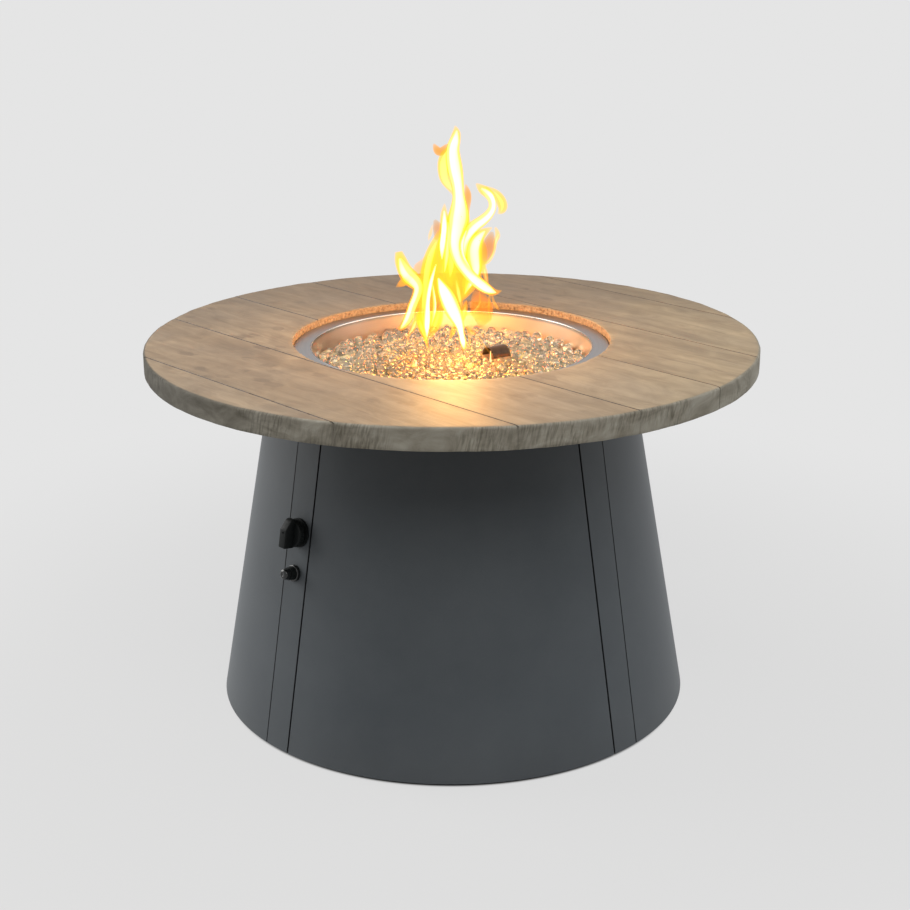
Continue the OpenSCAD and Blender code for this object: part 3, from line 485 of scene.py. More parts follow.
# %% [markdown]
# ## Cast plank top
# The slab could be cut with booleans, but a cylinder worked by hand gives an even mesh that can carry
# relief. The top cap is inset to the opening, pushed down to the ledge for the pan and inset again, and
# the two open loops are bridged. The arrises are bevelled. Each board joint is bisected three times,
# and the middle cut is sunk along its normals, so the groove also runs down the rim as a notch.

# %% Slab with its opening
ledge_r, ledge_z, top_z0 = 0.2402, 0.6088, 0.588
slab_sides, top_rings = 1280, 27
plank_top = start_cylinder("plank_top", slab_sides, top_r, table_h - top_z0, (0, 0, (table_h + top_z0) / 2))
choose_cap(plank_top, 1)
inset(top_r - well_r)
draw_out(ledge_z - table_h)
inset(well_r - ledge_r)
bpy.ops.mesh.delete(type="FACE")
choose_cap(plank_top, -1)
inset(top_r - ledge_r)
bpy.ops.mesh.delete(type="FACE")
open_edges = choose(plank_top, "edges", lambda e: e.is_boundary)
bpy.ops.mesh.bridge_edge_loops()
print("bridged", open_edges, "edges of the ledge hole")

# %% Rings, arrises and rim rows
hair = 1e-4
choose_edges(plank_top, lambda at: at.low > table_h - hair and at.far - at.near > 0.2)
bpy.ops.mesh.subdivide(number_cuts=top_rings)
for is_arris, offset, segments in (
    (lambda at: at.low > table_h - hair and at.near > top_r - hair, 0.004, 4),
    (lambda at: at.high < top_z0 + hair and at.near > top_r - hair, 0.0025, 2),
    (lambda at: at.low > table_h - hair and at.far < well_r + hair, 0.0018, 2),
):
    choose_edges(plank_top, is_arris)
    round_off(offset, segments)
for is_upright, cuts in (
    (lambda at: at.high - at.low > 0.02 and at.near > top_r - hair, 7),
    (lambda at: at.high - at.low > 0.01 and well_r - hair < at.near and at.far < well_r + hair, 4),
):
    choose_edges(plank_top, is_upright)
    bpy.ops.mesh.subdivide(number_cuts=cuts)
print("slab has", len(bmesh.from_edit_mesh(plank_top.data).faces), "faces before the joints")

# %% Board joints
groove_w, groove_depth, notch_depth = 0.003, 0.0025, 0.0008
across_boards = Vector((-math.sin(plank_turn), math.cos(plank_turn), 0))
joint_lines = [side * (k + 0.5) * plank_w for k in range(3) for side in (-1, 1)]
for line in joint_lines:
    for edge in (-groove_w / 2, groove_w / 2, 0):
        bpy.ops.mesh.select_all(action="SELECT")
        bpy.ops.mesh.bisect(plane_co=across_boards * (line + edge), plane_no=across_boards)


def on_joint(point):
    return min(abs(point.dot(across_boards) - line) for line in joint_lines) < 2e-6


def in_groove(vert):
    return on_joint(vert.co) and vert.co.z > table_h - 0.0039 and vert.normal.z > 0.2


sunk = choose(plank_top, "verts", in_groove)
bpy.ops.transform.shrink_fatten(value=-groove_depth)
notched = choose(plank_top, "verts", lambda v: on_joint(v.co) and out_from_axis(v.co) > top_r - hair)
bpy.ops.transform.shrink_fatten(value=-notch_depth)
alone(plank_top)
print("sunk", sunk, "points along the joints and", notched, "down the rim")

# %% [markdown]
# The rim of a cast slab is never true: it carries the shallow ridges of the saw that cut the mould's
# boards, and the opening's wall is pitted. A Displace modifier can give both. Its noise is the same in
# every direction, so the rim gets a UV map that is squeezed along the rim, and the noise turns to ticks.

# %% Relief of the rim and the opening wall
rim_points = plank_top.vertex_groups.new(name="rim")
wall_points = plank_top.vertex_groups.new(name="opening_wall")
for point in plank_top.data.vertices:
    off = out_from_axis(point.co)
    if off > top_r - 0.0042:
        rim_points.add([point.index], 1.0, "REPLACE")
    elif off < well_r + 0.002 and ledge_z + 0.001 < point.co.z:
        wall_points.add([point.index], 1.0, "REPLACE")
around = plank_top.data.uv_layers.new(name="around_the_rim")
for corner in plank_top.data.loops:
    point = plank_top.data.vertices[corner.vertex_index].co
    turn_m = math.atan2(point.y, point.x) * top_r
    around.data[corner.index].uv = (turn_m * 9 - point.z * 2, point.z * 1.2)
for name, group, size, depth, mapping in (
    ("saw_ticks", "rim", 0.07, 0.0003, "UV"),
    ("cast_waves", "rim", 0.045, 0.0016, "LOCAL"),
    ("pitted_wall", "opening_wall", 0.007, 0.0024, "LOCAL"),
):
    pattern = bpy.data.textures.new(name, "CLOUDS")
    pattern.noise_scale = size
    pattern.noise_depth = 2
    relief = plank_top.modifiers.new(name, "DISPLACE")
    relief.texture = pattern
    relief.vertex_group = group
    relief.strength = depth
    relief.mid_level = 0.55
    relief.texture_coords = mapping
    bpy.ops.object.modifier_apply(modifier=name)
smooth(35)
dress(plank_top, cast_top, "table", "cast_top", "table_top")

# %% [markdown]
# ## Powder coat
# The cone is folded sheet with a baked slate-grey powder. Up close, powder coat has the fine skin of an
# orange, and it picks up a little dust towards the floor. Noise at a millimetre gives the skin, and a
# slow mottle gives the age, so that the panels aren't one flat tone. Painted shade darkens the cone high
# up under the top, and painted light makes its foot lighter. What lies behind the skin of the cone, in
# the seams and inside, is painted nearly black as shade, and this painted shade spreads a millimetre
# past the edges of the seams beside the posts.

# %% Powder coat
foot_r, skin_slope, skirt_gap, seam_off = 0.405, 0.18215, 0.006, 0.0268
powder_coat, skin = new_finish("slate_powder_coat", Specular_IOR_Level=0.22)
on_sheet = place_on(skin)
_, _, sheet_z = parts_of(on_sheet)
mottle = noise(on_sheet, 5.0, 4, 0.6)
speck = noise(on_sheet, 900, 2, 0.5)
slate = ramp(mottle, (0.30, (0.0830, 0.0935, 0.1030)), (0.70, (0.1035, 0.1150, 0.1250)))
slate = tint(0.35, slate, ramp(speck, (0.35, 0.80), (0.65, 1.0)))
dust = scaled(smooth_step(sheet_z, 0.14, 0.0), noise(on_sheet, 16, 3, 0.6))
slate = mix_colour(scaled(dust, 0.14), slate, (0.17, 0.165, 0.155))
# painted shade and light: darker high up under the top, lighter at the foot
height_shade_painted = ramp(sheet_z, (0.06, (1.12, 1.13, 1.14)), (0.34, 1.0), (0.54, (0.84, 0.83, 0.82)))
slate = tint(1.0, slate, height_shade_painted)
# painted shade: what lies behind the cone's skin, in the seams and inside, is made nearly black
skin_r = scaled(sheet_z, -skin_slope, foot_r + skin_slope * skirt_gap)
behind_skin_shade_painted = smooth_step(calc("SUBTRACT", skin_r, from_axis(on_sheet)), 0.0004, 0.0009)
slate = mix_colour(scaled(behind_skin_shade_painted, 0.9), slate, (0.006, 0.006, 0.007))
# painted shade: a dark band spreads past each seam edge beside the posts
for post_turn in (45, -45):
    sideways, _, _ = parts_of(turn_place(on_sheet, math.radians(post_turn)))
    from_seam = calc("ABSOLUTE", calc("SUBTRACT", calc("ABSOLUTE", sideways), seam_off))
    seam_edge_shade_painted = scaled(smooth_step(from_seam, 0.0018, 0.0009), 0.8)
    slate = mix_colour(seam_edge_shade_painted, slate, (0.010, 0.011, 0.012))
lay_skin(skin, slate, scaled(mottle, 0.14, 0.40), speck, 0.10, 0.0004)
print("powder coat made")

# %% [markdown]
# ## Stainless pan
# The drop-in pan is spun stainless steel. Spinning leaves fine rings round the axis, so the noise reads
# only the radius and the height, and is the same all round the ring. Heat has tinted the wall, and the
# flame's light is painted over the tint: pale straw and lighter on the +x side, browner on the other.

# %% Stainless
stainless, skin = new_finish("spun_stainless", Metallic=1.0)
on_pan = place_on(skin)
pan_x, _, pan_z = parts_of(on_pan)
rings = noise(point_at(from_axis(on_pan), pan_z, 0.0), (900, 900, 1), 3, 0.6)
smears = noise(on_pan, 9, 4, 0.6, 0.4)
steel = ramp(rings, (0.30, (0.40, 0.385, 0.375)), (0.70, (0.50, 0.485, 0.475)))
steel = tint(0.5, steel, ramp(smears, (0.30, (0.86, 0.84, 0.82)), (0.70, 1.0)))
in_the_pan = smooth_step(pan_z, 0.6112, 0.604)
steel = tint(calc("SUBTRACT", 1.0, in_the_pan), steel, (0.72, 0.73, 0.76))
# painted flame light over the heat tint: the wall is warmer inside the pan, paler and lighter on the +x side
flame_glow_side_painted = smooth_step(pan_x, -0.02, 0.10)
heat_and_glow_tint = mix_colour(flame_glow_side_painted, (0.70, 0.49, 0.35), (1.0, 0.73, 0.50))
heat_and_glow_share = scaled(in_the_pan, scaled(flame_glow_side_painted, 0.35, 0.5))
steel = mix_colour(heat_and_glow_share, steel, heat_and_glow_tint)
lay_skin(skin, steel, scaled(smears, 0.20, 0.24), rings, 0.06, 0.0003)
print("stainless made")

# %% [markdown]
# ## Other finishes
# Fasteners, fittings, rubber, plastic and paint share one recipe: two tones broken up by noise at the
# right scale, a roughness that follows the same noise, and a little relief. What differs is the tones,
# the scale, the roughness, the metal and the depth, so one function makes them all from a row each.

# %% Finishes of the fittings
def fitting_finish(name, dark, light, grain, rough, metal=0.0, relief=0.1, squeeze=(1, 1, 1), **sockets):
    finish, skin = new_finish(name, Metallic=metal, **sockets)
    where = stretch(place_on(skin), squeeze)
    broad = noise(where, grain * 0.12, 4, 0.6, 0.3)
    fine = noise(where, grain, 3, 0.55)
    tone = ramp(broad, (0.30, dark), (0.70, light))
    tone = tint(0.4, tone, ramp(fine, (0.30, 0.75), (0.70, 1.0)))
    lay_skin(skin, tone, scaled(broad, 0.24, rough - 0.12), fine, relief, 0.0004)
    return finish


finishes = {"cast_top": cast_top, "powder_coat": powder_coat, "stainless": stainless}
for slot, *recipe in (
    ("frame_steel", "blackened_frame_steel", (0.030, 0.031, 0.033), (0.055, 0.056, 0.058), 260, 0.5, 0.6),
    ("zinc_fasteners", "bright_zinc", (0.50, 0.51, 0.52), (0.68, 0.68, 0.67), 500, 0.34, 1.0),
    ("hood_steel", "scorched_hood_steel", (0.045, 0.028, 0.018), (0.15, 0.094, 0.056), 320, 0.38, 0.8, 0.2),
    ("fibre_gasket", "woven_fibre_gasket", (0.42, 0.40, 0.36), (0.60, 0.58, 0.53), 900, 0.9, 0, 0.4,
     (1, 1, 3)),
    ("electrode_ceramic", "glazed_ceramic", (0.66, 0.63, 0.57), (0.80, 0.78, 0.72), 300, 0.25, 0, 0.04),
    ("thermocouple_copper", "drawn_copper", (0.58, 0.27, 0.15), (0.78, 0.42, 0.26), 500, 0.35, 1.0),
    ("brass_fittings", "turned_brass", (0.55, 0.37, 0.14), (0.76, 0.56, 0.26), 420, 0.32, 1.0),
    ("battery_case", "battery_sleeve", (0.030, 0.090, 0.210), (0.060, 0.140, 0.290), 240, 0.4, 0, 0.05),
    ("black_rubber", "black_rubber", (0.012, 0.012, 0.012), (0.026, 0.026, 0.025), 700, 0.72, 0, 0.25),
    ("regulator_casting", "regulator_casting", (0.24, 0.245, 0.25), (0.36, 0.365, 0.37), 420, 0.55, 0.7,
     0.3),
    ("cylinder_paint", "cylinder_enamel", (0.60, 0.61, 0.60), (0.72, 0.73, 0.72), 160, 0.38, 0, 0.06),
    ("handwheel_plastic", "handwheel_plastic", (0.055, 0.06, 0.065), (0.09, 0.095, 0.1), 600, 0.48, 0, 0.15),
):
    finishes[slot] = fitting_finish(*recipe)
finishes["control_plastic"] = fitting_finish(
    "moulded_black_plastic", (0.0050, 0.0065, 0.0065), (0.0090, 0.0110, 0.0110), 1400, 0.50, 0, 0.12,
    Specular_IOR_Level=0.13)
igniter_gloss = fitting_finish("igniter_gloss_black", (0.0045, 0.0055, 0.0055), (0.0085, 0.0100, 0.0100),
                               900, 0.20, 0, 0.05)
print(len(finishes) + 1, "finishes")

# %% [markdown]
# ## Glass
# The gems are clear glass with a faint straw body. A shader that lets light through does the work,
# and the tint is kept very light, because hundreds of gems lie over one another. Near the flame an
# amber tint is painted in for the flame's light. The bed below them is the same glass seen through
# many layers: cells the size of a gem, each with its own pale tone, with painted shade in the gaps
# between them and the flame's light painted amber in the middle.

# %% Gem glass and the bed
gem_glass, skin = new_finish("clear_gem_glass", Transmission_Weight=0.94, IOR=1.5)
in_gem = place_on(skin)
seeds = noise(in_gem, 60, 2, 0.5)
clear = ramp(seeds, (0.35, (0.950, 0.930, 0.790)), (0.65, (0.990, 0.980, 0.900)))
# painted flame light: gems near the flame are tinted amber
flame_glow_painted = smooth_step(distance(in_gem, (-0.01, -0.05, 0.58)), 0.18, 0.09)
clear = tint(flame_glow_painted, clear, (0.96, 0.84, 0.68))
lay_skin(skin, clear, 0.02, noise(in_gem, 110, 1, 0.5), 0.04, 0.0006)

bed_glass, skin = new_finish("deep_gem_bed", IOR=1.5)
in_bed = place_on(skin)
cells = wire("TexVoronoi", {"Vector": in_bed, "Scale": 62.0, "Randomness": 1.0}).outputs
pick_tone, _, _ = wire("SeparateColor", {0: cells["Color"]}).outputs
bed = ramp(pick_tone, (0.0, (0.120, 0.116, 0.068)), (0.45, (0.280, 0.276, 0.162)),
           (0.8, (0.470, 0.468, 0.285)), (1.0, (0.800, 0.800, 0.540)))
# painted shade: the gaps between the cells are dark
bed = mix_colour(smooth_step(cells["Distance"], 0.62, 0.30), (0.06, 0.058, 0.03), bed)
# painted flame light: the middle of the bed, under the flame, is tinted amber
bed = tint(smooth_step(from_axis(in_bed), 0.20, 0.09), bed, (1.0, 0.78, 0.42))
lay_skin(skin, bed, scaled(pick_tone, 0.2, 0.08), cells["Distance"], 0.6, -0.004)
finishes["gem_glass"] = gem_glass
print("glass made")

# %% [markdown]
# ## Rolled lip of the pan
# Where the wall of the pan turns into its flange, the sheet is rolled to a small bead, and the bead
# catches the light of the flame as one thin line. Its tone is a painted highlight that follows its
# place: dark in front and pale at the back, where the line shows. A ring is drawn out and turned over
# step by step round the section of the bead, and its ends are merged.

# %% Lip steel
lip_steel, skin = new_finish("polished_lip_steel", Metallic=0.84)
on_lip = place_on(skin)
_, lip_y, _ = parts_of(on_lip)
scuffs = noise(on_lip, 700, 3, 0.55)
# painted highlight: the lip is dark in front (-y) and pale at the back (+y)
lip_highlight_painted = ramp(lip_y, (0.04, (0.26, 0.25, 0.245)), (0.13, (0.70, 0.68, 0.655)),
              (0.19, (0.94, 0.92, 0.89)))
lip_highlight_painted = tint(0.3, lip_highlight_painted, ramp(scuffs, (0.30, 0.80), (0.70, 1.0)))
lay_skin(skin, lip_highlight_painted, scaled(scuffs, 0.16, 0.18), scuffs, 0.03, 0.0004)
print("lip steel made")

# %% Rolled lip
lip_r, lip_z, bead_r, bead_steps = 0.2348, 0.6113, 0.0013, 12
pick_none()
bpy.ops.mesh.primitive_circle_add(vertices=192, radius=lip_r + bead_r, location=(0, 0, lip_z))
rolled_lip = start_piece("rolled_lip")
bpy.ops.mesh.select_all(action="SELECT")
for step in range(bead_steps):
    turn_a, turn_b = (math.tau * s / bead_steps for s in (step, step + 1))
    draw_out(bead_r * (math.sin(turn_b) - math.sin(turn_a)))
    spread = (lip_r + bead_r * math.cos(turn_b)) / (lip_r + bead_r * math.cos(turn_a))
    bpy.ops.transform.resize(value=(spread, spread, 1), center_override=(0, 0, lip_z))
bpy.ops.mesh.select_all(action="SELECT")
bpy.ops.mesh.remove_doubles(threshold=0.0001)
bpy.ops.mesh.normals_make_consistent(inside=False)
alone(rolled_lip)
bpy.ops.object.shade_smooth()
dress(rolled_lip, lip_steel, "table", "stainless")

# %% [markdown]
# ## Gems
# A gem is a flattened drop of glass, 18 mm across. It starts as a coarse ball, is pressed flat, and its
# points are jogged so that it isn't regular. Four such gems are made, and copies of them are strewn over
# the bed with a fixed seed: a lower and an upper layer, none nearer to its neighbours than a gem allows,
# none in the burner's hood.

# %% Four gems
gem_r, gem_t = 0.009, 0.0132
kinds = []
for seed in range(4):
    pick_none()
    bpy.ops.mesh.primitive_uv_sphere_add(segments=10, ring_count=6, radius=gem_r)
    gem = start_piece(f"gem_kind_{seed}")
    bpy.ops.transform.resize(value=(1.0, 0.86 + 0.05 * seed, gem_t / gem_r / 2 * (1 + 0.07 * seed)))
    bpy.ops.transform.vertex_random(offset=0.0004, uniform=0.2, normal=0.5, seed=seed)
    bpy.ops.mesh.vertices_smooth(factor=0.25)
    alone(gem)
    bpy.ops.object.shade_smooth()
    kinds.append(gem)
print("a gem has", len(kinds[0].data.polygons), "faces")

# %% Strew the gems
luck = random.Random(11)
throws, bed_reach, unevenness, gem_lean = 16000, 0.2205, 0.0012, 0.5
hood_x, hood_y, hood_turn, hood_half = 0.075, 0.020, math.radians(35), 0.017 + 0.0078


def in_hood(x, y):
    dx, dy = x - hood_x, y - hood_y
    along_hood = dx * math.cos(hood_turn) + dy * math.sin(hood_turn)
    over_hood = dy * math.cos(hood_turn) - dx * math.sin(hood_turn)
    return max(abs(along_hood), abs(over_hood)) < hood_half


places = []
for level_z, spacing in ((0.5765, 0.0152), (0.5830, 0.0146)):
    layer = []
    for _ in range(throws):
        off = bed_reach * math.sqrt(luck.random())
        swing = luck.random() * math.tau
        x, y = off * math.cos(swing), off * math.sin(swing)
        if in_hood(x, y) or any((x - a) ** 2 + (y - b) ** 2 < spacing**2 for a, b, _ in layer):
            continue
        layer.append((x, y, level_z + luck.uniform(-unevenness, unevenness)))
    places += layer
strewn = []
for place in places:
    gem = bpy.data.objects.new("gem", luck.choice(kinds).data.copy())
    bpy.context.collection.objects.link(gem)
    lie_x, lie_y = (Matrix.Rotation(luck.uniform(-gem_lean, gem_lean), 4, axis) for axis in "XY")
    size = Matrix.Scale(luck.uniform(0.82, 1.02), 4)
    spin = Matrix.Rotation(luck.random() * math.tau, 4, "Z")
    gem.data.transform(Matrix.Translation(place) @ (lie_x @ lie_y) @ spin @ size)
    strewn.append(gem)
gem_bed = join_all(strewn, "strewn_gems")
for kind in kinds:
    bpy.data.objects.remove(kind)
dress(gem_bed, gem_glass, "table", "gem_glass", "glass_gems")
print(len(places), "gems strewn")

# %% [markdown]
# ## Knob
# The knob has a round skirt and a bar grip whose face slopes back at the top. The grip could be drawn
# and extruded, but a block that is bisected on the slope and bevelled all round gives the soft moulded
# edges at once. It is modelled upright at the origin, and then placed on the post with its matrix.

# %% Place on the control post
post_axes = Matrix(((0.707107, -0.707107, 0), (0.126701, 0.126701, 0.983816),
                    (-0.695663, -0.695663, 0.179183)))
knob_place, igniter_place = (-0.240015, -0.240015, 0.366), (-0.248515, -0.248515, 0.300)


def place_on_post(piece, origin):
    alone(piece)
    piece.matrix_world = Matrix.LocRotScale(Vector(origin), post_axes.transposed(), None)
    bpy.ops.object.transform_apply()


print("knob at", knob_place, "igniter at", igniter_place)

# %% Knob skirt
turned_sides = 72
skirt_r, skirt_t, skirt_mid, stem_r, bore_depth = 0.0225, 0.009, 0.0131, 0.0043, 0.0082


def side_number(face):
    return int((math.atan2(face.normal.y, face.normal.x) + math.pi) / math.tau * turned_sides)


skirt = start_cylinder("control_knob_skirt", turned_sides, skirt_r, skirt_t, (0, 0, skirt_mid))
choose_edges(skirt, lambda at: at.low > skirt_mid + skirt_t / 2 - hair)
round_off(0.0018, 3)
flutes = choose(skirt, "faces", lambda f: abs(f.normal.z) < 0.1 and side_number(f) % 3 == 0)
bpy.ops.mesh.inset(thickness=0.0004, depth=-0.0006, use_individual=True)
choose_cap(skirt, -1)
inset(skirt_r - stem_r)
draw_out(bore_depth)
alone(skirt)
print("skirt with", flutes, "flutes")

# %% Knob grip and dot
grip_mid, grip_size = (0, 0.001, 0.025), (0.015, 0.047, 0.018)
slope_start, slope_facing = (0, 0.0075, 0.034), (0, 0.0104, 0.017)
dot_r, dot_t, dot_mid = 0.0019, 0.0012, (0, 0.0025, 0.0339)
pick_none()
bpy.ops.mesh.primitive_cube_add(size=1, location=grip_mid, scale=grip_size)
grip = start_piece("control_knob_grip")
bpy.ops.mesh.bisect(plane_co=slope_start, plane_no=slope_facing, use_fill=True, clear_outer=True)


def across_the_end(edge):
    a, b = (v.co for v in edge.verts)
    return min(a.y, b.y) > 0.020 and min(a.z, b.z) > 0.02 and abs(a.x - b.x) > 0.01


choose(grip, "edges", across_the_end)
round_off(0.005, 5)
bpy.ops.mesh.select_all(action="SELECT")
round_off(0.0011, 3)
alone(grip)

dot = start_cylinder("control_knob_dot", 32, dot_r, dot_t, dot_mid)
choose_cap(dot, 1)
inset(0.0004)
draw_out(-0.0005)
bar_knob = join_all((skirt, grip, dot), "bar_knob")
place_on_post(bar_knob, knob_place)
smooth(40)
dress(bar_knob, finishes["control_plastic"], "knob", "control_plastic", "control_knob")

# %% [markdown]
# ## Igniter
# A ring nut holds the igniter's barrel on the post, and a domed cap is pressed to spark. The ring is a
# cylinder with a hole bridged through it, a rounded front and finger notches. The cap is drawn in step
# by step from its rim, which gives a dome with a flat middle.

# %% Igniter ring and cap
nut_r, nut_t, nut_mid, barrel_r = 0.0135, 0.006, 0.0031, 0.01058
cap_r, cap_t, cap_z0 = 0.0087, 0.0161, 0.0059


def in_notch(face):
    outside = out_from_axis(face.calc_center_median()) > nut_r - hair
    return abs(face.normal.z) < 0.1 and outside and side_number(face) % 6 < 2


ring_nut = start_cylinder("igniter_ring_nut", turned_sides, nut_r, nut_t, (0, 0, nut_mid))
choose(ring_nut, "faces", lambda f: abs(f.normal.z) > 0.9)
inset(nut_r - barrel_r)
bpy.ops.mesh.delete(type="FACE")
choose(ring_nut, "edges", lambda e: e.is_boundary)
bpy.ops.mesh.bridge_edge_loops()
choose_edges(ring_nut, lambda at: at.low > nut_mid + nut_t / 2 - hair and at.near > nut_r - hair)
round_off(0.0014, 4)
choose(ring_nut, "faces", in_notch)
inset(0.0002, -0.0007)
place_on_post(ring_nut, igniter_place)
smooth(35)
dress(ring_nut, igniter_gloss, "table", "control_plastic", "igniter_collar")

cap = start_cylinder("igniter_cap", 56, cap_r, cap_t, (0, 0, cap_z0 + cap_t / 2))
choose_cap(cap, 1)
for rise, shrink in ((0.0010, 0.975), (0.0010, 0.94), (0.0009, 0.88), (0.0007, 0.78), (0.0003, 0.62)):
    draw_out(rise)
    bpy.ops.transform.resize(value=(shrink, shrink, 1))
inset(0.0007, -0.0004)
place_on_post(cap, igniter_place)
smooth(40)
dress(cap, igniter_gloss, "spark_button", "control_plastic", "igniter_button")

# %% [markdown]
# ## Hoses and leads
# Two hoses and two leads run inside the base, from fitting to fitting. The solids have them as faceted
# tubes, so each is drawn again on the same four points as one smooth curve with a round section.


def lay_hose(name, node, diameter, stiffness, *points_mm):
    points = [tuple(c / 1000 for c in p) for p in points_mm]
    pick_none()
    bpy.ops.curve.primitive_bezier_curve_add()
    hose = bpy.context.object
    hose.name = hose.data.name = name
    hose.location = (0, 0, 0)
    first, last = hose.data.splines[0].bezier_points
    for knot in (first, last):
        knot.handle_left_type = knot.handle_right_type = "FREE"
    first.co, first.handle_right, last.handle_left, last.co = points
    first.handle_left = [2 * a - b for a, b in zip(points[0], points[1])]
    last.handle_right = [2 * a - b for a, b in zip(points[3], points[2])]
    hose.data.resolution_u = 40
    hose.data.bevel_depth = diameter / 2
    hose.data.bevel_resolution = 5
    hose.data.use_fill_caps = True
    hose.data.materials.append(finishes[slot_of[node]])
    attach(hose, "table")
    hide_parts(node)


slot_of = {row["node"]: row["material_slot"] for row in frame["record"]["subparts"]}
print(len(slot_of), "nodes with a slot")

# %% Hoses and leads
for row in (
    ("burner_hose_tube", "burner_hose", 0.012, "stiff", (-212.562, -212.562, 389.422),
     (-201.159, -201.159, 477.966), (-77.7817, -77.7817, 471.8), (-14.1421, -14.1421, 471.8)),
    ("supply_hose_tube", "supply_hose", 0.012, "stiff", (-56, 43, 397.5), (-176, 43, 397.5),
     (-113.048, -113.048, 333.297), (-196.527, -196.527, 354.799)),
    ("spark_lead_wire", "spark_lead", 0.0032, "medium", (-208.167, -208.167, 289.607),
     (-103.817, -103.817, 262.73), (65.5789, 19.5071, 368.8), (65.5789, 19.5071, 518.8)),
    ("thermocouple_wire", "thermocouple_lead", 0.0032, "stiff", (-204.746, -204.746, 369.113),
     (-135.180, -135.180, 351.195), (84.4211, 20.4929, 418.8), (84.4211, 20.4929, 518.8)),
):
    lay_hose(*row)

# %% [markdown]
# ## Finish the nodes that stay
# The sheet metal, the burner, the fittings and the gas cylinder have the right shape already. Each
# takes the finish of its slot in the record. Two differ: the fill is glass seen in depth, and the screws
# in the seams are painted with the panels.

# %% Dress the CAD nodes
special = {"glass_fill": bed_glass, "panel_screws": powder_coat}
for name, node in nodes.items():
    for material_slot in node.material_slots:
        material_slot.material = special.get(name) or finishes[slot_of[name]]
print("dressed", len(nodes), "nodes")

# %% [markdown]
# ## Flame
# A flame is light and not a part, so it is staged like the floor and isn't exported. It could be a
# simulated gas, but that is slow and noisy. Here each tongue is a closed, tapering ribbon that is filled
# with glowing gas and has no skin: where it is thin it is a see-through orange, and where tongues overlap
# it turns yellow. Inside the larger ones a warmer ribbon is pale yellow, and a thin one in that, a little
# to one side, is nearly white.

# %% Flame gas
gases = {}
for name, soak, density, tone, strength in (
    ("smoke", (0.94, 0.52, 0.05), 120, (1.0, 0.30, 0.05), 16),
    ("veil", (0.97, 0.52, 0.05), 70, (1.0, 0.33, 0.05), 42),
    ("ember", (0.97, 0.55, 0.05), 260, (1.0, 0.30, 0.04), 105),
    ("sheet", (0.98, 0.64, 0.05), 70, (1.0, 0.42, 0.05), 56),
    ("body", (0.98, 0.66, 0.05), 190, (1.0, 0.40, 0.05), 150),
    ("warm", (1.0, 0.90, 0.45), 40, (1.0, 0.82, 0.36), 190),
    ("hot", (1.0, 0.95, 0.80), 20, (1.0, 0.92, 0.72), 520),
):
    gases[name] = bpy.data.materials.new("flame_" + name)
    gases[name].use_nodes = True
    tree = gases[name].node_tree
    tree.nodes.clear()
    haze = add_node(tree, "VolumeAbsorption", {"Color": (*soak, 1), "Density": density})
    light = add_node(tree, "Emission", {"Color": (*tone, 1), "Strength": strength})
    burning = wire("AddShader", {0: haze.outputs[0], 1: light.outputs[0]})
    wire("OutputMaterial", {"Volume": burning.outputs[0]})
print(len(gases), "kinds of flame gas")

# %% Flame ribbon
pick_none()
bpy.ops.curve.primitive_bezier_circle_add(radius=0.001)
flame_section = bpy.context.object
flame_section.name = "flame_section"
bpy.ops.object.mode_set(mode="EDIT")
bpy.ops.curve.select_all(action="SELECT")
bpy.ops.transform.resize(value=(0.6, 1, 1))
bpy.ops.object.mode_set(mode="OBJECT")
flame_section.data.resolution_u = 6


def ribbon(name, gas, knots, swell):
    pick_none()
    bpy.ops.curve.primitive_nurbs_path_add()
    tongue = bpy.context.object
    tongue.name = name
    tongue.location = (0, 0, 0)
    tongue.data.dimensions = "3D"
    tongue.data.splines.clear()
    line = tongue.data.splines.new("NURBS")
    line.points.add(len(knots) - 1)
    for point, (x, y, z, half_width) in zip(line.points, knots):
        point.co = (x / 1000, y / 1000, z / 1000, 1)
        point.radius = max(half_width * swell, 0.4)
    line.order_u = 3
    line.use_endpoint_u = True
    line.resolution_u = 8
    tongue.data.bevel_mode = "OBJECT"
    tongue.data.bevel_object = flame_section
    tongue.data.use_fill_caps = True
    tongue.data.materials.append(gases[gas])
    bpy.ops.object.convert(target="MESH")
    bpy.ops.object.shade_smooth()
    tongue = bpy.context.object
    tongue.visible_diffuse = False
    tongue.visible_shadow = False


def inner(knots, lean):
    tip, *middle, foot = knots[1:-1]
    lit = [(*tip[:3], tip[3] * 0.3), *middle, (*foot[:3], foot[3] * 0.2)]
    return [(x + lean * width, y, z, width) for x, y, z, width in lit]


print("flame section of", len(flame_section.data.splines[0].bezier_points), "points")

# %% [markdown]
# A row holds a tongue's name and gas, the shares of the warm and the hot ribbon in it, its depth at both
# ends, and then its knots from the tip down: the place across, the height and the half width, in mm.

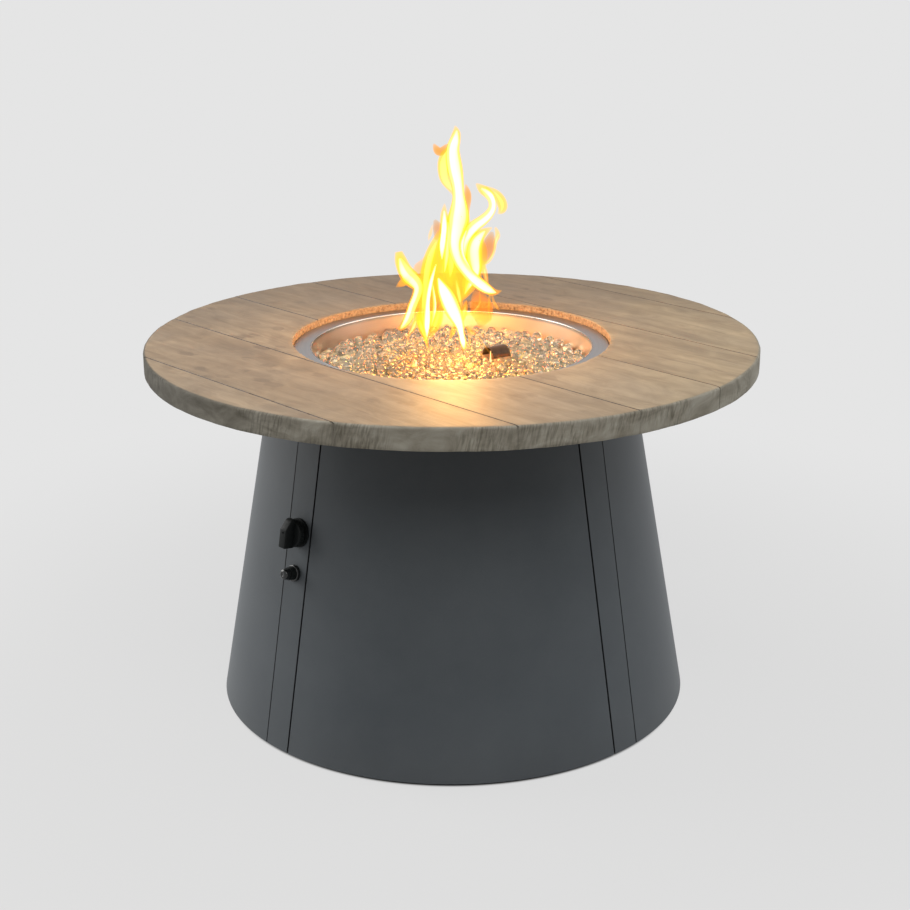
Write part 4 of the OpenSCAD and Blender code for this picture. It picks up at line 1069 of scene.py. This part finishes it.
# %% Flame tongues
tongues = (
    ("main", "body", 0.82, 0.58, 0, -12, (7, 970, 0.9), (10, 962, 6.6), (8, 949, 9), (3, 934, 11.3),
     (4, 918, 13.1), (7, 900, 13.7), (11, 880, 10.8), (13, 859, 10.2), (14, 842, 14.9), (13, 824, 19.1),
     (9, 805, 15.5), (5, 787, 12.5), (6, 772, 10.8), (11, 756, 10.2), (20, 742, 9.6), (34, 726, 10.2),
     (50, 713, 11.3), (64, 704, 8.4), (74, 701, 5.4), (83, 705, 1.2)),
    ("sheet", "sheet", 0, 0, 10, 14, (14, 847, 3), (13, 828, 16.7), (10, 808, 24.5), (10, 786, 31.1),
     (10, 765, 38.2), (7, 744, 44.8), (1, 722, 45.4), (-5, 704, 38.8), (-10, 685, 26.9), (-14, 668, 6)),
    ("sheet_right", "sheet", 0, 0, 8, 8, (30, 805, 2.4), (35, 790, 14.3), (38, 771, 21.5), (39, 753, 21.5),
     (40, 734, 16.7), (43, 718, 6)),
    ("sheet_left", "sheet", 0, 0, 6, 2, (-25, 772, 2.4), (-33, 745, 13.1), (-39, 719, 18.5),
     (-42, 692, 19.7), (-45, 665, 17.3), (-46, 644, 11.9), (-44, 628, 2.4)),
    ("pleat", "body", 0.7, 0.45, -4, -8, (-6, 831, 1.2), (-5, 816, 4.8), (-4, 795, 5.4), (-6, 774, 6),
     (-8, 753, 5.4), (-11, 735, 3.6), (-13, 719, 0.9)),
    ("pleat_right", "body", 0.75, 0.5, -6, -10, (29, 818, 1.2), (25, 803, 5.4), (18, 790, 4.8),
     (16, 774, 4.8), (19, 759, 4.8), (28, 743, 4.8), (37, 732, 3.6), (46, 725, 0.9)),
    ("pleat_low", "body", 0.6, 0, -6, -12, (6, 737, 1.2), (8, 721, 4.8), (11, 706, 4.8), (14, 690, 4.2),
     (17, 674, 3.6), (19, 658, 0.9)),
    ("pleat_left", "body", 0.6, 0.35, -6, -14, (-28, 735, 0.9), (-31, 716, 3.6), (-29, 698, 4.2),
     (-27, 679, 4.8), (-30, 661, 5.4), (-34, 645, 4.2), (-39, 626, 0.9)),
    ("top_lobe", "body", 0.6, 0, 2, 2, (2, 939, 1.8), (-6, 929, 7.8), (-11, 915, 10.2), (-12, 899, 9.6),
     (-10, 885, 8.4), (-4, 875, 6.6), (2, 866, 4.2), (5, 856, 0.9)),
    ("crown", "ember", 0, 0, 3, 3, (-27, 941, 1.5), (-24, 934, 6), (-18, 927, 7.2), (-11, 932, 6),
     (-6, 939, 3), (-3, 941, 0.6)),
    ("ember", "ember", 0, 0, 4, 4, (24, 876, 1.2), (27, 866, 5.4), (28, 853, 6), (27, 840, 4.2),
     (29, 827, 0.9)),
    ("second", "body", 0.8, 0.6, -6, -6, (-10, 847, 0.9), (-11, 835, 5.4), (-11, 816, 7.2), (-13, 795, 7.2),
     (-16, 774, 7.8), (-15, 756, 6), (-12, 737, 1.2)),
    ("fold", "body", 0.5, 0, -4, -6, (-3, 805, 2.4), (-2, 784, 7.2), (0, 763, 10.2), (0, 742, 10.2),
     (-2, 726, 7.8), (1, 711, 2.4)),
    ("left_smoke", "smoke", 0, 0, 2, 0, (-27, 819, 2.4), (-22, 811, 8.4), (-21, 799, 8.4), (-25, 787, 3)),
    ("left_rim", "body", 0, 0, 0, 0, (-30, 812, 0.9), (-33, 799, 3.3), (-36, 790, 2.4), (-37, 785, 0.6)),
    ("left_tall", "body", 0.45, 0, 0, -4, (-19, 802, 2.4), (-24, 784, 7.8), (-31, 768, 9.6),
     (-37, 750, 10.8), (-41, 728, 10.8), (-43, 704, 9.6), (-46, 680, 7.8), (-49, 659, 5.4), (-53, 646, 1.2)),
    ("thread", "body", 0.8, 0.7, -8, -16, (-19, 767, 0.9), (-25, 748, 3.6), (-32, 727, 3.6),
     (-37, 706, 4.2), (-40, 685, 4.2), (-41, 661, 6), (-42, 640, 6), (-42, 624, 4.2), (-39, 602, 0.6)),
    ("left", "body", 0.75, 0.4, 0, -4, (-86, 767, 6), (-84, 756, 10), (-79, 741, 11.5), (-71, 727, 14.5),
     (-61, 719, 14), (-53, 708, 10.2), (-57, 694, 8.4), (-64, 679, 8.4), (-69, 663, 8.4), (-76, 648, 7.2),
     (-85, 638, 5.4), (-91, 640, 0.9)),
    ("spur", "body", 0, 0, 0, 0, (-66, 726, 4.2), (-78, 717, 7.8), (-86, 712, 4.8), (-92, 708, 0.6)),
    ("left_veil", "veil", 0, 0, 6, 6, (-66, 730, 3), (-56, 732, 11.9), (-47, 743, 10.8), (-43, 753, 5.4),
     (-41, 761, 0.9)),
    ("left_glow", "veil", 0, 0, 6, 2, (-56, 713, 3), (-49, 700, 10.8), (-51, 682, 10.8), (-55, 663, 8.4),
     (-60, 648, 2.4)),
    ("front", "body", 0.85, 0.66, -16, -40, (-25, 741, 0.9), (-21, 727, 6), (-14, 711, 11.3),
     (-6, 695, 15.5), (1, 679, 16.1), (8, 665, 13.1), (14, 651, 8.4), (17, 636, 5.4), (20, 622, 7.2),
     (21, 613, 4.2), (21, 609, 0.9)),
    ("front_fork", "body", 0.6, 0, -18, -26, (25, 691, 1.2), (23, 680, 5.4), (21, 669, 7.2), (17, 658, 5.4),
     (14, 651, 1.2)),
    ("curl", "body", 0.8, 0.5, 0, -2, (41, 878, 1.5), (49, 870, 7.8), (60, 863, 8.4), (67, 852, 6.6),
     (68, 839, 6.6), (62, 828, 7.8), (51, 818, 9), (38, 809, 10.2), (28, 798, 10.8), (21, 784, 9.6),
     (19, 768, 8.4), (22, 752, 4.2), (26, 740, 0.9)),
    ("lobe", "body", 0.35, 0, 1, 0, (56, 872, 2.4), (69, 866, 5.4), (80, 854, 8.4), (85, 840, 8.4),
     (81, 832, 5.4), (76, 829, 0.9)),
    ("right", "body", 0.7, 0.5, -2, -4, (67, 807, 1.2), (55, 801, 6.6), (43, 790, 11.9), (36, 773, 14.9),
     (37, 755, 14.9), (40, 738, 11.9), (37, 723, 8.4), (27, 710, 6), (22, 697, 4.2), (14, 686, 0.9)),
    ("right_edge", "body", 0.5, 0, 0, 0, (72, 807, 1.8), (78, 796, 5.1), (72, 783, 3.3), (71, 769, 2.7),
     (65, 755, 3.3), (55, 746, 3.3), (50, 754, 0.9)),
    ("right_smoke", "smoke", 0, 0, 4, 4, (67, 799, 3), (63, 782, 11.9), (60, 767, 11.9), (55, 752, 7.2),
     (52, 743, 1.2)),
    ("right_drop", "body", 0.6, 0, -6, -10, (51, 753, 1.8), (54, 740, 5.1), (57, 727, 4.5), (59, 714, 3),
     (61, 706, 0.9)),
    ("right_glow", "veil", 0, 0, 6, 2, (40, 705, 4.2), (46, 687, 16.7), (51, 668, 20.9), (51, 652, 16.1),
     (48, 640, 3)),
    ("drip", "body", 0, 0, -10, -8, (64, 702, 2.4), (62, 684, 2.7), (62, 668, 2.1), (65, 648, 0.6)),
    ("drip_right", "body", 0.5, 0, -12, -14, (67, 698, 2.1), (70, 684, 3), (77, 675, 2.7), (80, 671, 0.6)),
    ("loop", "body", 0.6, 0, -10, -16, (46, 703, 1.2), (49, 688, 2.4), (42, 672, 2.4), (28, 666, 3.9),
     (21, 664, 0.9)),
    ("between", "veil", 0, 0, 4, 0, (-16, 788, 2.4), (-19, 762, 7.8), (-25, 735, 9.6), (-30, 709, 10.8),
     (-31, 682, 10.8), (-31, 658, 8.4), (-31, 645, 1.8)),
    ("hollow", "veil", 0, 0, 4, 0, (6, 756, 3), (11, 735, 10.8), (12, 714, 12.5), (10, 696, 7.2),
     (12, 684, 1.2)),
    ("heart", "body", 0.5, 0, -4, -8, (29, 741, 3), (26, 724, 7.8), (23, 708, 7.2), (24, 694, 1.8)),
    ("wisp_left", "body", 0.7, 0.4, -8, -18, (-55, 667, 1.8), (-59, 653, 5.1), (-64, 641, 4.5),
     (-71, 632, 3), (-76, 612, 0.6)),
    ("low_left", "body", 0.55, 0, -4, -22, (-53, 670, 2.4), (-53, 653, 9.6), (-49, 640, 9.6),
     (-43, 626, 5.4), (-39, 609, 0.6)),
    ("low_mid", "body", 0.45, 0, -4, -16, (-13, 683, 2.4), (-20, 667, 9), (-26, 651, 11.3), (-31, 637, 7.8),
     (-35, 625, 0.9)),
    ("low_heart", "body", 0, 0, -10, -16, (6, 651, 1.8), (4, 640, 6), (0, 630, 4.8), (-5, 621, 0.6)),
    ("lick", "body", 0.7, 0.4, -20, -24, (23, 648, 1.5), (31, 638, 4.5), (38, 635, 3.6), (42, 633, 0.6)),
    ("lick_low", "body", 0, 0, -24, -36, (26, 642, 1.2), (30, 630, 2.4), (31, 620, 2.1), (29, 612, 0.6)),
    ("thread_right", "body", 0, 0, -20, -40, (37, 640, 0.9), (51, 621, 1.8), (64, 604, 1.5), (71, 597, 0.5)),
)
flicker = random.Random(5)
for name, gas, warm, hot, tip_y, foot_y, *outline in tongues:
    name = "flame_" + name
    slope = (foot_y - tip_y) / (len(outline) - 1)
    knots = [(x, round(tip_y + slope * i), z, half_width) for i, (x, z, half_width) in enumerate(outline)]
    ribbon(name, gas, knots, 1.0)
    if warm:
        ribbon(name + "_warm", "warm", inner(knots, 0.0), warm)
    if hot:
        ribbon(name + "_hot", "hot", inner(knots, flicker.uniform(-0.3, 0.3)), hot)
bpy.data.objects.remove(flame_section)
print(len(tongues), "tongues of flame")

# %% Light of the flame
for lamp_z, watts in ((0.66, 2.8), (0.76, 1.8), (0.86, 0.8)):
    bpy.ops.object.light_add(type="POINT", location=(0, -0.02, lamp_z))
    flame_lamp = bpy.context.object
    flame_lamp.name = "flame_lamp"
    flame_lamp.data.energy = watts
    flame_lamp.data.color = (1.0, 0.56, 0.17)
    flame_lamp.data.shadow_soft_size = 0.045
    flame_lamp.visible_camera = False
print("flame staged and lit")
